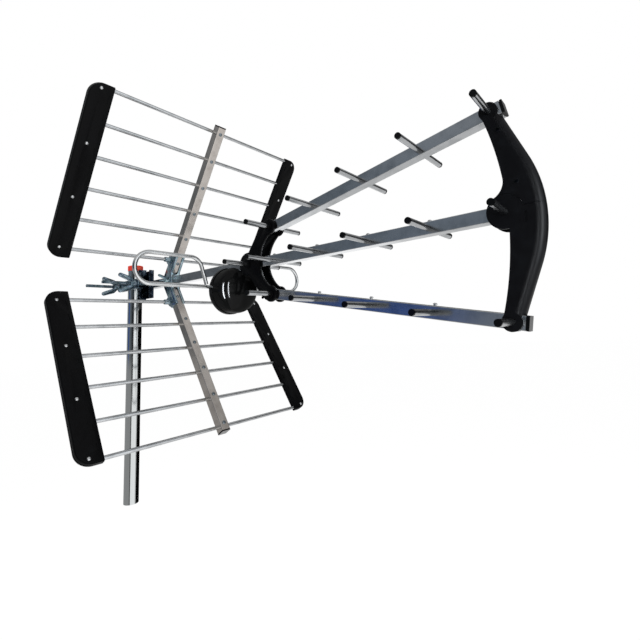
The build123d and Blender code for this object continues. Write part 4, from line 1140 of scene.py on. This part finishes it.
@dataclass
class CrossScrews:
    """Pan head screws with a cross recess, in the spines and through the bows."""

    spine_front: float = 24.2 * MM
    rod_first: float = 64.0
    rod_pitch: float = 68.0
    rod_count: int = 6
    front_near: float = BOOM_Y - 14.6 * MM
    rear_near: float = 15.3 * MM
    front_places: Pairs = ((960.5, 115.1), (976.5, 37.1))
    rear_places: Pairs = ((484.8, 73.4), (484.8, -73.4))
    # Radius and height of the head, and radius of the shank
    spine_head: Triple = (4.0 * MM, 1.6 * MM, 2.0 * MM)
    bow_head: Triple = (3.2 * MM, 1.4 * MM, 1.6 * MM)
    spine_shank: float = 24.2 * MM
    front_shank: float = 29.1 * MM
    rear_shank: float = 32.3 * MM
    # Shares of the head's radius and height: its rim, its insets, and the cutter's three sides
    rim: float = 0.55
    insets: Pairs = ((0.1, 0.25), (0.2, 0.2))
    cutter: Triple = (1.25, 0.24, 1.2)

    def screw(self, radius: float, height: float, shank_radius: float, shank: float) -> Object:
        """Makes one screw.

        Args:
            radius: of its head.
            height: of its head.
            shank_radius: of its shank.
            shank: length under the head.

        Returns:
            The screw, its head's seat at the origin.
        """
        head = turned_bar(radius, 0.0, self.rim * height, sides=32)
        pick_faces(head, top_face(head))
        for share, rise in self.insets:
            bpy.ops.mesh.inset(thickness=share * radius, depth=rise * height)
        bpy.ops.object.mode_set(mode="OBJECT")
        for turn in (math.pi / 4, -math.pi / 4):
            bpy.ops.mesh.primitive_cube_add(
                size=1.0, location=(0.0, 0.0, height), rotation=(0.0, 0.0, turn)
            )
            blade = bpy.context.object
            blade.scale = Vector(self.cutter) * Vector((radius, radius, height))
            take_up(blade)
            bpy.ops.object.transform_apply(location=True, rotation=True, scale=True)
            take_up(head)
            cut = head.modifiers.new("recess", "BOOLEAN")
            cut.object = blade
            cut.operation = "DIFFERENCE"
            bpy.ops.object.modifier_apply(modifier=cut.name)
            bpy.data.objects.remove(blade, do_unlink=True)
        take_up(head)
        bpy.ops.object.shade_smooth_by_angle(angle=SHARP)
        return joined(head, turned_bar(shank_radius, -shank, 0.0, sides=20))

    def build(self, finishes: dict[str, Material]) -> None:
        """Makes and sets all screws.

        Args:
            finishes: the materials by key.
        """
        reaches = [(self.rod_first + self.rod_pitch * k) * MM for k in range(self.rod_count)]
        seats = [panel_seat(reach, self.spine_front, half) for half in Half for reach in reaches]
        screw = self.screw(*self.spine_head, self.spine_shank)
        settle(set_down(screw, seats, "spine_screws_recessed"), "spine_screws", finishes)
        front = self.bow_seats(self.front_places, self.front_near)
        rear = self.bow_seats(self.rear_places, self.rear_near)
        front_screws = set_down(self.screw(*self.bow_head, self.front_shank), front, "front_screws")
        rear_screws = set_down(self.screw(*self.bow_head, self.rear_shank), rear, "rear_screws")
        both = joined(front_screws, rear_screws)
        both.name = "bow_screws_recessed"
        settle(both, "bow_screws", finishes)

    def bow_seats(self, places: Pairs, near: float) -> list[Seat]:
        """Seats on a bow's near cheek, facing the near side.

        Args:
            places: the seats in side view.
            near: the cheek's own place across the antenna.

        Returns:
            The seats.
        """
        return [(Vector((x * MM, near, z * MM)), Vector((0.0, -1.0, 0.0))) for x, z in places]


@dataclass
class ClampBolts:
    """Hexagon bolts with a real thread, through the mast clamp and the reflector bracket."""

    node: str
    places: Pairs
    radius: float
    length: float
    head_radius: float
    head_height: float
    pitch: float
    threaded: float
    point: float = 0.4 * MM
    edge: float = 0.5 * MM

    def build(self, finishes: dict[str, Material]) -> None:
        """Makes and sets the bolts.

        Args:
            finishes: the materials by key.
        """
        start = self.length - self.threaded
        root = self.radius - THREAD_DEPTH * self.pitch
        core = turned_bar(root, 0.0, self.length - self.point, sides=24)
        plain = turned_bar(self.radius, 0.0, start, sides=32)
        head = turned_bar(self.head_radius, -self.head_height, 0.0, sides=6, turn=math.pi / 6)
        soften(head, self.edge, SHARP, steps=2)
        bolt = joined(head, core, plain, thread(self.radius, self.pitch, start, self.length))
        seats = [(Vector((x * MM, y * MM, 0.0)), Vector((0.0, -1.0, 0.0))) for x, y in self.places]
        settle(set_down(bolt, seats, f"{self.node}_threaded"), self.node, finishes)


@dataclass
class CoaxSocket:
    """The threaded coax socket at the back of the box, with its flange, nut and open bore."""

    place: Triple = (352.0, 31.5, -78.0)
    wall: float = 2.6 * MM
    flange: float = 1.5 * MM
    length: float = 12.0 * MM
    pitch: float = 0.794 * MM
    radius: float = 4.76 * MM
    bore: float = 2.6 * MM
    flange_radius: float = 6.5 * MM
    nut_radius: float = 6.35 * MM
    nut_height: float = 4.0 * MM
    flange_round: float = 0.3 * MM

    def build(self, finishes: dict[str, Material]) -> None:
        """Makes and sets the socket.

        Args:
            finishes: the materials by key.
        """
        end = self.flange + self.length
        root = self.radius - THREAD_DEPTH * self.pitch
        barrel = turned_bar(root, -self.wall, end, sides=40)
        pick_faces(barrel, top_face(barrel))
        bpy.ops.mesh.inset(thickness=root - self.bore, depth=0.0)
        bpy.ops.mesh.inset(thickness=SEAT_GAP, depth=-self.length)
        bpy.ops.object.mode_set(mode="OBJECT")
        collar = turned_bar(self.flange_radius, SEAT_GAP, self.flange + SEAT_GAP, sides=40)
        soften(collar, self.flange_round, SHARP, steps=2)
        nut = turned_bar(self.nut_radius, -self.wall - self.nut_height, -self.wall, sides=6)
        coil = thread(self.radius, self.pitch, self.flange, end)
        socket = joined(barrel, collar, nut, coil)
        seat = (Vector(self.place) * MM, Vector((-1.0, 0.0, 0.0)))
        settle(set_down(socket, [seat], "coax_socket_threaded"), "coax_socket", finishes)


SOFT_EDGES = {
    "end_plate": 0.45 * MM,
    "rear_bow": 0.6 * MM,
    "clamp_main_jaw": 0.35 * MM,
    "clamp_counter_jaw": 0.35 * MM,
    "clamp_wing_nuts": 0.9 * MM,
    "bracket_wing_nut": 0.5 * MM,
    "reflector_bracket": 0.35 * MM,
    "mast_cap": 0.4 * MM,
    "dipole_box_base": 0.5 * MM,
    "dipole_box_cover": 0.0,
}


def edge_of(node: str) -> float | None:
    """The width of a CAD node's edge rounds, or None where the node is worn as it is."""
    return next((width for start, width in SOFT_EDGES.items() if node.startswith(start)), None)


def main() -> None:
    """Builds camera, studio, finishes and pieces in order."""
    Camera().build()
    studio = Studio()
    studio.build()
    bpy.context.scene.view_settings.view_transform = "Standard"
    finishes = Finishes().build()
    dress_nodes(finishes)
    for name in frame["nodes"]:
        edge = edge_of(name)
        if edge is not None:
            SoftShell(name, edge).build(finishes)
    BlindRivets().build(finishes)
    CrossScrews().build(finishes)
    ClampBolts(
        "clamp_bolts",
        places=((-45.0, 41.6), (45.0, 41.6)),
        radius=4.0 * MM,
        length=146.0 * MM,
        head_radius=7.2 * MM,
        head_height=5.3 * MM,
        pitch=1.25 * MM,
        threaded=105.0 * MM,
    ).build(finishes)
    ClampBolts(
        "bracket_bolt",
        places=((130.0, 43.9),),
        radius=2.48 * MM,
        length=48.0 * MM,
        head_radius=4.46 * MM,
        head_height=3.29 * MM,
        pitch=0.8 * MM,
        threaded=18.0 * MM,
    ).build(finishes)
    CoaxSocket().build(finishes)
    studio.link_strips()
    log.info("antenna dressed: %d nodes", len(frame["nodes"]))


if __name__ == "__main__":
    main()
